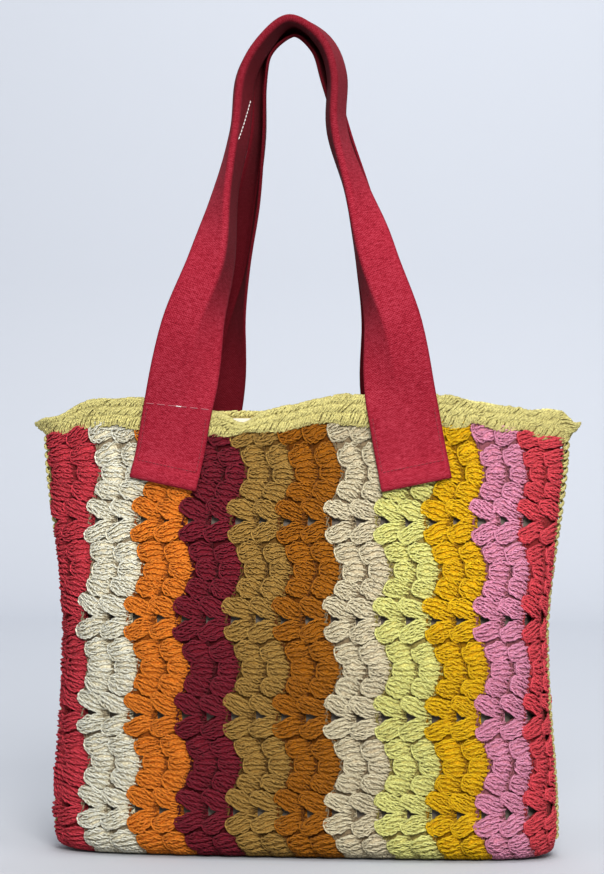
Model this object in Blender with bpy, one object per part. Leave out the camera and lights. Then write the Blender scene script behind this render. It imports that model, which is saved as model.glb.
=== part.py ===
"""A crochet tote bag with webbing handles, standing upright, in metres with +Z up.

The body is eleven lengthwise bands of cluster ripple stitch. Each band runs from the front mouth, under the
base and up the back. The origin is on the table under the middle of the base, and the front faces -Y.
"""

import math
from functools import lru_cache

import bmesh
import bpy
import numpy as np
from mathutils import Vector

# Body, measured to the inside of the crochet
BASE_HALF_WIDTH = 0.177
BULGE_HALF_WIDTH = 0.170
MOUTH_HALF_WIDTH = 0.185
BASE_HALF_DEPTH = 0.044
BULGE_HALF_DEPTH = 0.055
MOUTH_HALF_DEPTH = 0.030
BULGE_HEIGHT = 0.150
FOLD_RADIUS = 0.018
CORNER_LIFT = 0.007
CORNER_LIFT_HEIGHT = 0.060
CORNER_LIFT_START = 0.70
WALL_SQUARENESS = 3.3
MOUTH_SQUARENESS = 2.1

# Stitch pattern
STITCH_REPEAT = 0.068
REPEATS_PER_WALL = 5
HOLE_HALF_HEIGHT = 0.004
HOLE_DEPTH_SHARE = 0.55
CLUSTER_HEIGHT = 0.014
MIDDLE_CLUSTER_HEIGHT = 0.012
RIPPLE = 0.010
RIPPLE_SHIFT = 0.004
FABRIC_WIDTH = 0.396
FABRIC_THICKNESS = 0.0030
CLUSTER_RISE = 0.0032
CLUSTER_CREST_SHARE = 0.40
PIECE_GAP = 0.0003

# Side joins, mouth edging and lining
SIDE_JOIN_HALF_WIDTH = 0.005
SIDE_JOIN_RISE = 0.0030
SIDE_JOIN_LOW_SHARE = 0.6
EDGING_HEIGHT = 0.016
EDGING_THICKNESS = 0.0045
EDGING_RIDGE = 0.0016
EDGING_RIDGE_LEVEL = 0.72
EDGING_FLARE = 0.011
EDGING_FLARE_POWER = 8
EDGING_COLUMNS = 40
# Places along the mouth and how far the edging's upper rim stands above or below its middle height there
EDGING_PLACES = (
    -0.194, -0.172, -0.159, -0.144, -0.120, -0.068, -0.025, 0.008, 0.031, 0.108, 0.138, 0.184, 0.195,
)
EDGING_RISES = (
    -0.0100, -0.0035, 0.0030, 0.0070, 0.0070, -0.0032, -0.0008, 0.0050, 0.0085, 0.0080, 0.0008, -0.0028,
    -0.0115,
)
LINING_THICKNESS = 0.0008
LINING_CLEARANCE = 0.0020
LINING_END_CLEARANCE = 0.003
LINING_COLUMNS = 16
LINING_BELOW_EDGING_TOP = 0.007

# Handles
WEBBING_WIDTH = 0.050
WEBBING_THICKNESS = 0.0022
WEBBING_HEM_RISE = 0.0020
WEBBING_LIFT_OFF = 0.020
PATCH_LENGTH = 0.054
PATCH_GAP = 0.0009
PATCH_SHIFT = -0.0060
PATCH_LEAN = 0.011
FRONT_PATCH_SPREAD = 0.0795
BACK_PATCH_SPREAD = 0.069
RIM_STATION_RISE = 0.004
GRIP_HEIGHT = 0.597
GRIP_SHIFT = -0.0075
GRIP_DEPTH = 0.025
GRIP_FOLD_GAP = 0.0008
GRIP_FOLD = 88
BACK_GRIP_FOLD = 80
BACK_HANDLE_DROP = 0.0035
# Steps from each station of a leg to the next, from the patch to the crown of the grip
LEG_STEPS = (1, 1, 2, 3, 3, 3, 3, 3, 3)
# Shares of the rise above the mouth at which the legs are set, and their depth there
LEG_RISES = (
    (0.20, 0.0420),
    (0.38, 0.0380),
    (0.56, 0.0330),
    (0.72, 0.0285),
    (0.86, 0.0260),
    (0.95, GRIP_DEPTH),
)
# Sideways shift, half the distance between the legs, degrees by which outer and inner half are folded back
FRONT_LEGS = (
    (-0.0045, 0.0685, 5, 45),
    (-0.0044, 0.0504, 15, 78),
    (-0.0080, 0.0431, 60, 84),
    (-0.0106, 0.0355, 78, 76),
    (-0.0087, 0.0330, 78, 77),
    (-0.0065, 0.0210, 82, 80),
)
BACK_LEGS = (
    (-0.0035, 0.0605, 20, 45),
    (-0.0025, 0.0456, 45, 78),
    (-0.0017, 0.0383, 66, 78),
    (-0.0032, 0.0307, 80, 84),
    (-0.0077, 0.0253, 82, 82),
    (-0.0088, 0.0191, 80, 80),
)

BAND_YARNS = (
    ("red", (0.445, 0.022, 0.045)),
    ("white", (0.760, 0.735, 0.600)),
    ("orange", (0.775, 0.215, 0.020)),
    ("burgundy", (0.145, 0.012, 0.032)),
    ("khaki", (0.380, 0.225, 0.070)),
    ("brown", (0.430, 0.130, 0.010)),
    ("ivory", (0.610, 0.560, 0.430)),
    ("pale_yellow", (0.700, 0.670, 0.220)),
    ("mustard", (0.790, 0.430, 0.010)),
    ("pink", (0.640, 0.220, 0.400)),
    ("red", (0.445, 0.022, 0.045)),
)
EDGING_COLOUR = (0.830, 0.750, 0.260)
LINING_COLOUR = (0.520, 0.480, 0.400)
WEBBING_COLOUR = (0.400, 0.020, 0.048)
YARN_ROUGHNESS = 0.9
WEBBING_ROUGHNESS = 0.8
SHARP_ANGLE = math.radians(55)

# Worked out from the sizes above
BASE_FLAT = BASE_HALF_DEPTH - FOLD_RADIUS
FOLD_LENGTH = FOLD_RADIUS * math.pi / 2
FABRIC_REACH = REPEATS_PER_WALL * STITCH_REPEAT - HOLE_HALF_HEIGHT
FABRIC_TOP = FOLD_RADIUS + FABRIC_REACH - BASE_FLAT - FOLD_LENGTH
BAND_EDGE = 1 - 2 * SIDE_JOIN_HALF_WIDTH / FABRIC_WIDTH
BAND_SHARE = 2 * BAND_EDGE / len(BAND_YARNS)
GAP_SHARE = PIECE_GAP / FABRIC_WIDTH
MOUTH_TOP = FABRIC_THICKNESS + FABRIC_TOP + EDGING_HEIGHT
EDGING_FOOT = FABRIC_THICKNESS + FABRIC_TOP + PIECE_GAP


def eased(low, high, share):
    """A smooth step from low to high while share goes from 0 to 1."""
    share = min(max(share, 0.0), 1.0)
    return low + (high - low) * share * share * (3 - 2 * share)


def wall_section(height):
    """Half width, half depth and squareness of the bag's inside at this height above the base."""
    if height < BULGE_HEIGHT:
        share = (height - FOLD_RADIUS) / (BULGE_HEIGHT - FOLD_RADIUS)
        return (
            eased(BASE_HALF_WIDTH, BULGE_HALF_WIDTH, share),
            eased(BASE_HALF_DEPTH, BULGE_HALF_DEPTH, share),
            WALL_SQUARENESS,
        )
    share = (height - BULGE_HEIGHT) / (FABRIC_TOP - BULGE_HEIGHT)
    return (
        eased(BULGE_HALF_WIDTH, MOUTH_HALF_WIDTH, share),
        eased(BULGE_HALF_DEPTH, MOUTH_HALF_DEPTH, share),
        eased(WALL_SQUARENESS, MOUTH_SQUARENESS, share),
    )


def fabric_path(along):
    """Depth and height of the fabric's middle line. Along is 0 under the base and negative at the front."""
    run = abs(along)
    side = math.copysign(1.0, along)
    if run < BASE_FLAT:
        return along, 0.0
    if run < BASE_FLAT + FOLD_LENGTH:
        turn = (run - BASE_FLAT) / FOLD_RADIUS
        return side * (BASE_FLAT + FOLD_RADIUS * math.sin(turn)), FOLD_RADIUS * (1 - math.cos(turn))
    height = FOLD_RADIUS + run - BASE_FLAT - FOLD_LENGTH
    return side * wall_section(height)[1], height


@lru_cache(maxsize=None)
def section_curve(height):
    """Arc share from -1 to 1, x and relative depth along one half of the section at this height."""
    half_width, half_depth, squareness = wall_section(height)
    turn = np.linspace(math.pi, 0.0, 3001)
    across = half_width * np.sign(np.cos(turn)) * np.abs(np.cos(turn)) ** (2 / squareness)
    deep = np.abs(np.sin(turn)) ** (2 / squareness)
    length = np.concatenate([[0.0], np.cumsum(np.hypot(np.diff(across), half_depth * np.diff(deep)))])
    return 2 * length / length[-1] - 1, across, deep


def fabric_inside(share, along):
    """The point of the crochet's inner face at an arc share from side to side and a run along the band."""
    depth, height = fabric_path(along)
    shares, across, deep = section_curve(height)
    lift_share = max(abs(share) - CORNER_LIFT_START, 0.0) / (1 - CORNER_LIFT_START)
    lift = CORNER_LIFT * lift_share**2 * max(1 - height / CORNER_LIFT_HEIGHT, 0.0)
    return Vector((
        float(np.interp(share, shares, across)),
        depth * float(np.interp(share, shares, deep)),
        FABRIC_THICKNESS + height + lift,
    ))


def fabric_point(share, along, out):
    """A point this far outside the crochet's inner face."""
    step_share = 0.002
    step_along = 0.0005
    across = fabric_inside(share + step_share, along) - fabric_inside(share - step_share, along)
    upward = fabric_inside(share, along + step_along) - fabric_inside(share, along - step_along)
    return fabric_inside(share, along) + out * upward.cross(across).normalized()


def ripple_share(share, along):
    """How far a row's edge stands to the right: most between the hole lines, not at all at the sides."""
    wave = 0.5 - 0.5 * math.cos(2 * math.pi * along / STITCH_REPEAT)
    shift = 2 * (RIPPLE_SHIFT + RIPPLE * wave) / FABRIC_WIDTH
    return shift * (1 - min(abs(share) / BAND_EDGE, 1.0) ** 4)


def relief(along):
    """Share of the clusters' rise: full on the walls and none under the base, which is pressed flat."""
    return eased(0.0, 1.0, (abs(along) - BASE_FLAT) / FOLD_LENGTH)


def paint(mesh, name, colour, roughness):
    material = bpy.data.materials.new(name)
    material.use_nodes = True
    shader = material.node_tree.nodes["Principled BSDF"]
    shader.inputs["Base Color"].default_value = (*colour, 1.0)
    shader.inputs["Roughness"].default_value = roughness
    mesh.materials.append(material)


def make_object(name, points, faces, colour, roughness=YARN_ROUGHNESS):
    """One closed mesh object with its normals outward."""
    mesh = bpy.data.meshes.new(name)
    mesh.from_pydata([tuple(point) for point in points], [], faces)
    shell = bmesh.new()
    shell.from_mesh(mesh)
    bmesh.ops.triangulate(shell, faces=shell.faces)
    bmesh.ops.recalc_face_normals(shell, faces=shell.faces)
    shell.to_mesh(mesh)
    shell.free()
    mesh.shade_smooth()
    mesh.set_sharp_from_angle(angle=SHARP_ANGLE)
    paint(mesh, name, colour, roughness)
    made = bpy.data.objects.new(name, mesh)
    bpy.context.scene.collection.objects.link(made)


def bridge(first, second):
    """Triangles between two chains of (run, point index) that start and end side by side."""
    faces = []
    i = j = 0
    while i < len(first) - 1 or j < len(second) - 1:
        take_first = j == len(second) - 1 or (
            i < len(first) - 1 and first[i + 1][0] <= second[j + 1][0] + 1e-9
        )
        if take_first:
            faces.append((first[i][1], first[i + 1][1], second[j][1]))
            i += 1
        else:
            faces.append((first[i][1], second[j + 1][1], second[j][1]))
            j += 1
    return faces


def hole_lines():
    """Runs of the lines of holes, front to back, without the one that would lie under the base."""
    turns = range(1 - REPEATS_PER_WALL, REPEATS_PER_WALL)
    return [turn * STITCH_REPEAT for turn in turns if turn]


def cluster_stops():
    """Runs at which one cluster ends and the next begins, from the front mouth to the back mouth."""
    rest = STITCH_REPEAT - 4 * CLUSTER_HEIGHT
    middle = min(MIDDLE_CLUSTER_HEIGHT, rest)
    first = (STITCH_REPEAT - 2 * CLUSTER_HEIGHT - middle) / 2
    marks = (CLUSTER_HEIGHT, first + CLUSTER_HEIGHT, first + CLUSTER_HEIGHT + middle)
    stops = []
    for repeat in range(-REPEATS_PER_WALL, REPEATS_PER_WALL):
        start = repeat * STITCH_REPEAT
        stops += [start + mark for mark in marks] + [start + STITCH_REPEAT - CLUSTER_HEIGHT]
    on_wall = [stop for stop in stops if abs(stop) >= BASE_FLAT]
    ends = [-FABRIC_REACH, -BASE_FLAT, BASE_FLAT, FABRIC_REACH]
    return sorted(on_wall + ends)


class Band:
    """Collects the points and faces of one crochet band."""

    def __init__(self, number):
        left = -BAND_EDGE + number * BAND_SHARE
        self.lines = (left, left + BAND_SHARE / 2, left + BAND_SHARE)
        self.points = []
        self.faces = []
        self.chains = {}

    def add(self, point):
        self.points.append(point)
        return len(self.points) - 1

    def line_share(self, line, along):
        share = self.lines[line] + ripple_share(self.lines[line], along)
        return share + GAP_SHARE * (1 - line)

    def edge_point(self, line, along, out):
        """A point of a row's edge, made once."""
        key = (line, round(along, 6), out)
        if key not in self.chains:
            self.chains[key] = self.add(fabric_point(self.line_share(line, along), along, out))
        return self.chains[key]

    def hole_point(self, line, along, out):
        """The inner corner of the hole that opens at the left of a row."""
        key = (line, round(along, 6), out, "hole")
        if key not in self.chains:
            share = (1 - HOLE_DEPTH_SHARE) * self.line_share(line, along)
            share += HOLE_DEPTH_SHARE * self.line_share(line + 1, along)
            self.chains[key] = self.add(fabric_point(share, along, out))
        return self.chains[key]

    def cluster(self, row, low, high, left, right):
        """A low peak over the closed ring of one cluster, nearer its tip at the left."""
        ring = left + right[::-1]
        middle = (low + high) / 2
        share = (1 - CLUSTER_CREST_SHARE) * self.line_share(row, middle)
        share += CLUSTER_CREST_SHARE * self.line_share(row + 1, middle)
        crest = self.add(fabric_point(share, middle, FABRIC_THICKNESS + CLUSTER_RISE * relief(middle)))
        for k, corner in enumerate(ring):
            self.faces.append((corner, ring[(k + 1) % len(ring)], crest))

    def outer_row(self, row):
        stops = cluster_stops()
        holes = hole_lines()
        out = FABRIC_THICKNESS
        for low, high in zip(stops, stops[1:]):
            if high <= BASE_FLAT and low >= -BASE_FLAT:
                corners = [(row, low), (row, high), (row + 1, high), (row + 1, low)]
                self.faces.append(tuple(self.edge_point(line, stop, out) for line, stop in corners))
                continue
            inside = [hole for hole in holes if low < hole < high]
            if not inside:
                left = [self.edge_point(row, stop, out) for stop in (low, high)]
                right = [self.edge_point(row + 1, stop, out) for stop in (low, high)]
                self.cluster(row, low, high, left, right)
                continue
            hole = inside[0]
            under, over = hole - HOLE_HALF_HEIGHT, hole + HOLE_HALF_HEIGHT
            corner = self.hole_point(row, hole, out)
            for first, last, start, end in ((low, under, low, hole), (over, high, hole, high)):
                left = [self.edge_point(row, stop, out) for stop in (first, last)]
                left = left + [corner] if start < hole and end == hole else [corner] + left
                between = [stop for stop in (start, under, over, end) if start <= stop <= end]
                right = [self.edge_point(row + 1, stop, out) for stop in sorted(set(between))]
                self.cluster(row, first, last, left, right)

    def inner_stops(self):
        folds = [BASE_FLAT + FOLD_LENGTH * share for share in (0.0, 0.5, 1.0)]
        stops = {-FABRIC_REACH, FABRIC_REACH, *folds, *(-fold for fold in folds)}
        for hole in hole_lines():
            stops |= {hole - HOLE_HALF_HEIGHT, hole + HOLE_HALF_HEIGHT}
            stops.add(hole + math.copysign(STITCH_REPEAT / 2, hole))
        return sorted(stop for stop in stops if abs(stop) <= FABRIC_REACH)

    def chain(self, line, outer):
        """A row edge's points from front to back, with a notch for each hole at the band's left edge."""
        out = FABRIC_THICKNESS if outer else 0.0
        stops = set(self.inner_stops())
        if outer:
            stops = set(cluster_stops())
            for hole in hole_lines():
                stops |= {hole - HOLE_HALF_HEIGHT, hole + HOLE_HALF_HEIGHT}
        chain = [(stop, self.edge_point(line, stop, out)) for stop in stops]
        for hole in hole_lines():
            if line == 0:
                chain.append((hole, self.hole_point(0, hole, out)))
            elif outer:
                chain.append((hole, self.edge_point(line, hole, out)))
        return sorted(chain)

    def inner_rows(self):
        chains = [self.chain(line, False) for line in range(3)]
        self.faces += bridge(chains[0], chains[1])
        breaks = [-FABRIC_REACH]
        for hole in hole_lines():
            under, over = hole - HOLE_HALF_HEIGHT, hole + HOLE_HALF_HEIGHT
            breaks += [under, over]
            corner = self.hole_point(1, hole, 0.0)
            ring = [self.edge_point(1, under, 0.0), corner, self.edge_point(1, over, 0.0)]
            ends = [self.edge_point(2, under, 0.0), self.edge_point(2, over, 0.0)]
            self.faces += [(ring[0], corner, ends[0]), (corner, ends[1], ends[0]), (corner, ring[2], ends[1])]
        breaks.append(FABRIC_REACH)
        for low, high in zip(breaks[::2], breaks[1::2]):
            pair = []
            for line in (1, 2):
                pair.append([item for item in chains[line] if low - 1e-6 <= item[0] <= high + 1e-6])
            self.faces += bridge(*pair)

    def hole_walls(self):
        """The thickness of the fabric round the hole between the band's two rows."""
        for hole in hole_lines():
            under, over = hole - HOLE_HALF_HEIGHT, hole + HOLE_HALF_HEIGHT
            out = FABRIC_THICKNESS
            corner_out, corner_in = self.hole_point(1, hole, out), self.hole_point(1, hole, 0.0)
            under_out, under_in = self.edge_point(1, under, out), self.edge_point(1, under, 0.0)
            over_out, over_in = self.edge_point(1, over, out), self.edge_point(1, over, 0.0)
            middle_out = self.edge_point(1, hole, out)
            self.faces += [
                (under_out, corner_out, corner_in, under_in),
                (corner_out, over_out, over_in, corner_in),
                (under_out, under_in, middle_out),
                (over_out, middle_out, over_in),
                (middle_out, under_in, over_in),
            ]

    def ends(self):
        for stop in (-FABRIC_REACH, FABRIC_REACH):
            for line in (0, 1):
                self.faces.append((
                    self.edge_point(line, stop, 0.0),
                    self.edge_point(line + 1, stop, 0.0),
                    self.edge_point(line + 1, stop, FABRIC_THICKNESS),
                    self.edge_point(line, stop, FABRIC_THICKNESS),
                ))


def make_band(number, yarn, colour):
    band = Band(number)
    band.outer_row(0)
    band.outer_row(1)
    band.inner_rows()
    band.hole_walls()
    for line in (0, 2):
        band.faces += bridge(band.chain(line, True), band.chain(line, False))
    band.ends()
    make_object(f"band_{number + 1:02d}_{yarn}", band.points, band.faces, colour)


def tube_faces(rings, sides, closed):
    """Quads between rings of points, with end caps unless the tube closes on itself."""
    faces = []
    for ring in range(rings if closed else rings - 1):
        for side in range(sides):
            a, b = ring * sides + side, ring * sides + (side + 1) % sides
            c, d = ((ring + 1) % rings) * sides + side, ((ring + 1) % rings) * sides + (side + 1) % sides
            faces.append((a, b, d, c))
    if not closed:
        faces.append(tuple(range(sides)))
        faces.append(tuple(range((rings - 1) * sides, rings * sides)))
    return faces


def make_side_join(name, side):
    """The yarn join between the front and back edges of the crochet at one side."""
    runs = [BASE_FLAT + FOLD_LENGTH * share for share in (1 / 3, 2 / 3)]
    runs += list(np.arange(BASE_FLAT + FOLD_LENGTH, FABRIC_REACH, STITCH_REPEAT / 2)) + [FABRIC_REACH]
    points = []
    for number, run in enumerate(runs):
        half = fabric_inside(BAND_EDGE, run)[1] - 2 * PIECE_GAP
        base = fabric_inside(1.0, run)
        inner = abs(base[0]) + PIECE_GAP
        rise = FABRIC_THICKNESS + SIDE_JOIN_RISE * (1.0 if number % 2 else SIDE_JOIN_LOW_SHARE)
        outline = ((inner, -half), (inner + FABRIC_THICKNESS, -half), (inner + rise, 0.0),
                   (inner + FABRIC_THICKNESS, half), (inner, half))
        points += [Vector((side * x, y, base[2])) for x, y in outline]
    make_object(name, points, tube_faces(len(runs), 5, False), EDGING_COLOUR)


def mouth_ring(turn, out):
    """A point of the mouth's outline in plan, this far outside the crochet's inner face."""
    half_width, half_depth, squareness = wall_section(FABRIC_TOP)
    power = 2 / squareness
    x = (half_width + out) * math.copysign(abs(math.cos(turn)) ** power, math.cos(turn))
    y = (half_depth + out) * math.copysign(abs(math.sin(turn)) ** power, math.sin(turn))
    return x, y


def edging_top(x):
    """Height of the edging's upper rim: it waves along the mouth and droops at the pointed ends."""
    return MOUTH_TOP + float(np.interp(x, EDGING_PLACES, EDGING_RISES))


def make_mouth_edging():
    """The crocheted ring round the mouth, with a ridge below its upper rim."""
    points = []
    for column in range(EDGING_COLUMNS):
        turn = 2 * math.pi * (column + 0.5) / EDGING_COLUMNS
        scallop = EDGING_RIDGE / 2 * (column % 2)
        flare = EDGING_FLARE * abs(math.cos(turn)) ** EDGING_FLARE_POWER
        top = edging_top(mouth_ring(turn, flare)[0])
        ridge = EDGING_FOOT + (top - EDGING_FOOT) * EDGING_RIDGE_LEVEL
        outline = (
            (0.0, EDGING_FOOT),
            (EDGING_THICKNESS - EDGING_RIDGE + scallop, EDGING_FOOT),
            (EDGING_THICKNESS + scallop + flare / 2, ridge),
            (EDGING_THICKNESS - EDGING_RIDGE + flare, top),
            (flare, top),
        )
        for out, height in outline:
            x, y = mouth_ring(turn, out)
            points.append(Vector((x, y, height)))
    make_object("mouth_edging", points, tube_faces(EDGING_COLUMNS, 5, True), EDGING_COLOUR)


def lining_loop(height, inset):
    """One closed loop of the lining at this height above the crochet's inner base."""
    half_width, half_depth, squareness = wall_section(min(max(height, 0.0), FABRIC_TOP))
    depth_share = 1.0
    if height < FOLD_RADIUS:
        turn = math.acos(1 - max(height, 0.0) / FOLD_RADIUS)
        depth_share = (BASE_FLAT + FOLD_RADIUS * math.sin(turn)) / BASE_HALF_DEPTH
    power = 2 / squareness
    loop = []
    for column in range(LINING_COLUMNS):
        turn = 2 * math.pi * (column + 0.5) / LINING_COLUMNS
        end = half_width - inset - LINING_END_CLEARANCE
        x = end * math.copysign(abs(math.cos(turn)) ** power, math.cos(turn))
        y = (half_depth * depth_share - inset) * math.copysign(abs(math.sin(turn)) ** power, math.sin(turn))
        share = max(abs(x) / half_width - CORNER_LIFT_START, 0.0) / (1 - CORNER_LIFT_START)
        lift = CORNER_LIFT * share**2 * max(1 - height / CORNER_LIFT_HEIGHT, 0.0)
        loop.append(Vector((x, y, FABRIC_THICKNESS + height + lift + max(inset - height, 0.0))))
    return loop


def make_lining():
    """A cloth pouch with an outer and an inner face, open at the mouth."""
    top = FABRIC_TOP + EDGING_HEIGHT - LINING_BELOW_EDGING_TOP
    fold = FOLD_RADIUS * (1 - math.cos(math.pi / 4))
    narrowing = [BULGE_HEIGHT + (FABRIC_TOP - BULGE_HEIGHT) * share for share in (0.0, 0.5, 0.75, 1.0)]
    heights = [0.0, fold, FOLD_RADIUS, *narrowing, top]
    outer = [lining_loop(height, LINING_CLEARANCE) for height in heights]
    inner = [lining_loop(height, LINING_CLEARANCE + LINING_THICKNESS) for height in heights]
    loops = outer + inner[::-1]
    points = [point for loop in loops for point in loop]
    make_object("lining", points, tube_faces(len(loops), LINING_COLUMNS, False), LINING_COLOUR)


def front_depth(x, height):
    """How far the clusters' crests stand in front of the bag's middle plane."""
    half_width, half_depth, squareness = wall_section(min(height, FABRIC_TOP))
    share = min(abs(x) / half_width, 0.98)
    return half_depth * (1 - share**squareness) ** (1 / squareness) + FABRIC_THICKNESS + CLUSTER_RISE


def smooth_through(stations, steps):
    """Points of a Catmull-Rom curve through the stations, which are rows of numbers."""
    rows = np.array(stations, float)
    rows = np.vstack([2 * rows[0] - rows[1], rows, 2 * rows[-1] - rows[-2]])
    found = []
    for k, count in enumerate(steps, 1):
        before, here, there, after = rows[k - 1 : k + 3]
        for t in (step / count for step in range(count)):
            bend = (2 * before - 5 * here + 4 * there - after) * t**2
            twist = (3 * here - before - 3 * there + after) * t**3
            found.append((0.5 * (2 * here + (there - before) * t + bend + twist)).tolist())
    return found + [rows[-2].tolist()]


def leg_stations(side, leg, drop, patch_spread, legs):
    """Half a handle, from patch to grip: x, y, height and the degrees by which its halves are folded back."""
    patch_foot = MOUTH_TOP - PATCH_LENGTH
    rim_x = PATCH_SHIFT + leg * patch_spread
    rim_y = front_depth(rim_x, FABRIC_TOP)
    stations = [
        (rim_x + leg * PATCH_LEAN, rim_y, patch_foot, 0, 0),
        (rim_x + leg * PATCH_LEAN / 2, rim_y, (patch_foot + MOUTH_TOP) / 2, 0, 0),
        (rim_x, rim_y + WEBBING_THICKNESS, MOUTH_TOP + RIM_STATION_RISE, 0, 0),
    ]
    for (rise, depth), (shift, spread, outer, inner) in zip(LEG_RISES, legs):
        height = MOUTH_TOP + rise * (GRIP_HEIGHT - drop - MOUTH_TOP)
        stations.append((shift + leg * spread, depth, height, outer, inner))
    return [(x, side * y, height, outer, inner) for x, y, height, outer, inner in stations]


def webbing_outline(folds, thickness):
    """The webbing's section as (across, out) points, each half folded back from the middle by its angle."""
    knee = WEBBING_THICKNESS + GRIP_FOLD_GAP
    arm = (WEBBING_WIDTH - knee) / 2
    rise = thickness - WEBBING_THICKNESS / 2
    fall = WEBBING_THICKNESS / 2
    outer, inner = [], []
    for half, fold in zip((-1, 1), folds):
        crease = (half * knee / 2, 0.0)
        tip = (crease[0] + half * arm * math.cos(fold), -arm * math.sin(fold))
        ends = ((tip, fold, 1.0), (crease, fold / 2, 1 / math.cos(fold / 2)))
        for (across, out), lean, stretch in ends[::-half]:
            side_step, out_step = half * stretch * math.sin(lean), stretch * math.cos(lean)
            outer.append((across + rise * side_step, out + rise * out_step))
            inner.append((across - fall * side_step, out - fall * out_step))
    return outer + inner[::-1]


def make_handle(name, side, drop, patch_spread, legs, grip_fold):
    """One strap: its ends lie flat on the body, and both halves fold back further up towards the grip."""
    left = leg_stations(side, -1, drop, patch_spread, legs)
    right = leg_stations(side, 1, drop, patch_spread, legs)
    crown = [(GRIP_SHIFT, side * GRIP_DEPTH, GRIP_HEIGHT - drop, grip_fold, grip_fold)]
    path = smooth_through(left + crown + right[::-1], LEG_STEPS + LEG_STEPS[::-1])
    places = [Vector(row[:3]) for row in path]
    points = []
    for number, row in enumerate(path):
        before, after = places[max(number - 1, 0)], places[min(number + 1, len(path) - 1)]
        tangent = (after - before).normalized()
        facing = Vector((0.0, side, 0.0))
        facing = (facing - facing.dot(tangent) * tangent).normalized()
        across = tangent.cross(facing)
        hem = number == 0 or number == len(path) - 1
        thickness = WEBBING_THICKNESS + (WEBBING_HEM_RISE if hem else 0.0)
        outer_fold, inner_fold = (math.radians(min(max(fold, 0.0), GRIP_FOLD)) for fold in row[3:])
        folds = (outer_fold, inner_fold) if side < 0 else (inner_fold, outer_fold)
        for over, out in webbing_outline(folds, thickness):
            point = places[number] + over * across + out * facing
            hold = min(max((MOUTH_TOP + WEBBING_LIFT_OFF - point[2]) / WEBBING_LIFT_OFF, 0.0), 1.0)
            seat = front_depth(point[0], point[2]) + PATCH_GAP + WEBBING_THICKNESS / 2 + out
            point[1] += hold * (side * seat - point[1])
            points.append(point)
    make_object(name, points, tube_faces(len(path), 8, False), WEBBING_COLOUR, WEBBING_ROUGHNESS)


def main():
    for old in list(bpy.data.objects):
        bpy.data.objects.remove(old)
    for number, (yarn, colour) in enumerate(BAND_YARNS):
        make_band(number, yarn, colour)
    make_side_join("side_join_left", -1)
    make_side_join("side_join_right", 1)
    make_mouth_edging()
    make_lining()
    make_handle("front_handle", -1, 0.0, FRONT_PATCH_SPREAD, FRONT_LEGS, GRIP_FOLD)
    make_handle("back_handle", 1, BACK_HANDLE_DROP, BACK_PATCH_SPREAD, BACK_LEGS, BACK_GRIP_FOLD)


main()
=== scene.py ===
"""The crochet tote bag in yarn, webbing, cotton and thread, in metres with +Z up and the front at -Y."""

import math

import bpy
import numpy as np
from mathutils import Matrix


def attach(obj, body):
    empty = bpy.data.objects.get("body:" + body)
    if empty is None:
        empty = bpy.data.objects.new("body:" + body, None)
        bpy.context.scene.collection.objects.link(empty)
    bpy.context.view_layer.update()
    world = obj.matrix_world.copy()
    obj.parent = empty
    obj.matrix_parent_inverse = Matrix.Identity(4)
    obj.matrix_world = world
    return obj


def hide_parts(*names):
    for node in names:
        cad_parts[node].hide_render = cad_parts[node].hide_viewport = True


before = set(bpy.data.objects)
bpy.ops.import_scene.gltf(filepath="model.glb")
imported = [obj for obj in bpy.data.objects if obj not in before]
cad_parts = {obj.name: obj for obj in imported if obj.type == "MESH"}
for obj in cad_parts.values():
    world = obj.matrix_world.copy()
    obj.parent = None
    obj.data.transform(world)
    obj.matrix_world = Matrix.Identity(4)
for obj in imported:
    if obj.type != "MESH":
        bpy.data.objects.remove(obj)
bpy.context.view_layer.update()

# The wall of the bag.
# The body stands on a flat base, swells a little above it and draws in to a pointed oval mouth. Every
# stitch is laid on this surface: a share from side to side, a run up the wall and a distance out from it.
BASE_HALF_WIDTH = 0.177
BULGE_HALF_WIDTH = 0.170
MOUTH_HALF_WIDTH = 0.185
BASE_HALF_DEPTH = 0.044
BULGE_HALF_DEPTH = 0.055
MOUTH_HALF_DEPTH = 0.030
BULGE_HEIGHT = 0.150
FOLD_RADIUS = 0.018
CORNER_LIFT = 0.007
CORNER_LIFT_HEIGHT = 0.060
CORNER_LIFT_START = 0.70
WALL_SQUARENESS = 3.3
MOUTH_SQUARENESS = 2.1
STITCH_REPEAT = 0.068
REPEATS_PER_WALL = 5
HOLE_HALF_HEIGHT = 0.004
FABRIC_THICKNESS = 0.0030
BASE_FLAT = BASE_HALF_DEPTH - FOLD_RADIUS
FOLD_LENGTH = FOLD_RADIUS * math.pi / 2
FABRIC_REACH = REPEATS_PER_WALL * STITCH_REPEAT - HOLE_HALF_HEIGHT
FABRIC_TOP = FOLD_RADIUS + FABRIC_REACH - BASE_FLAT - FOLD_LENGTH


def eased(low, high, share):
    share = np.clip(share, 0.0, 1.0)
    return low + (high - low) * share * share * (3 - 2 * share)


def oval(turn, squareness):
    """Shares of the half width and half depth of a squared oval, at turns round it."""
    power = 2 / squareness
    across, deep = np.cos(turn), np.sin(turn)
    return np.sign(across) * np.abs(across) ** power, np.sign(deep) * np.abs(deep) ** power


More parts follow.
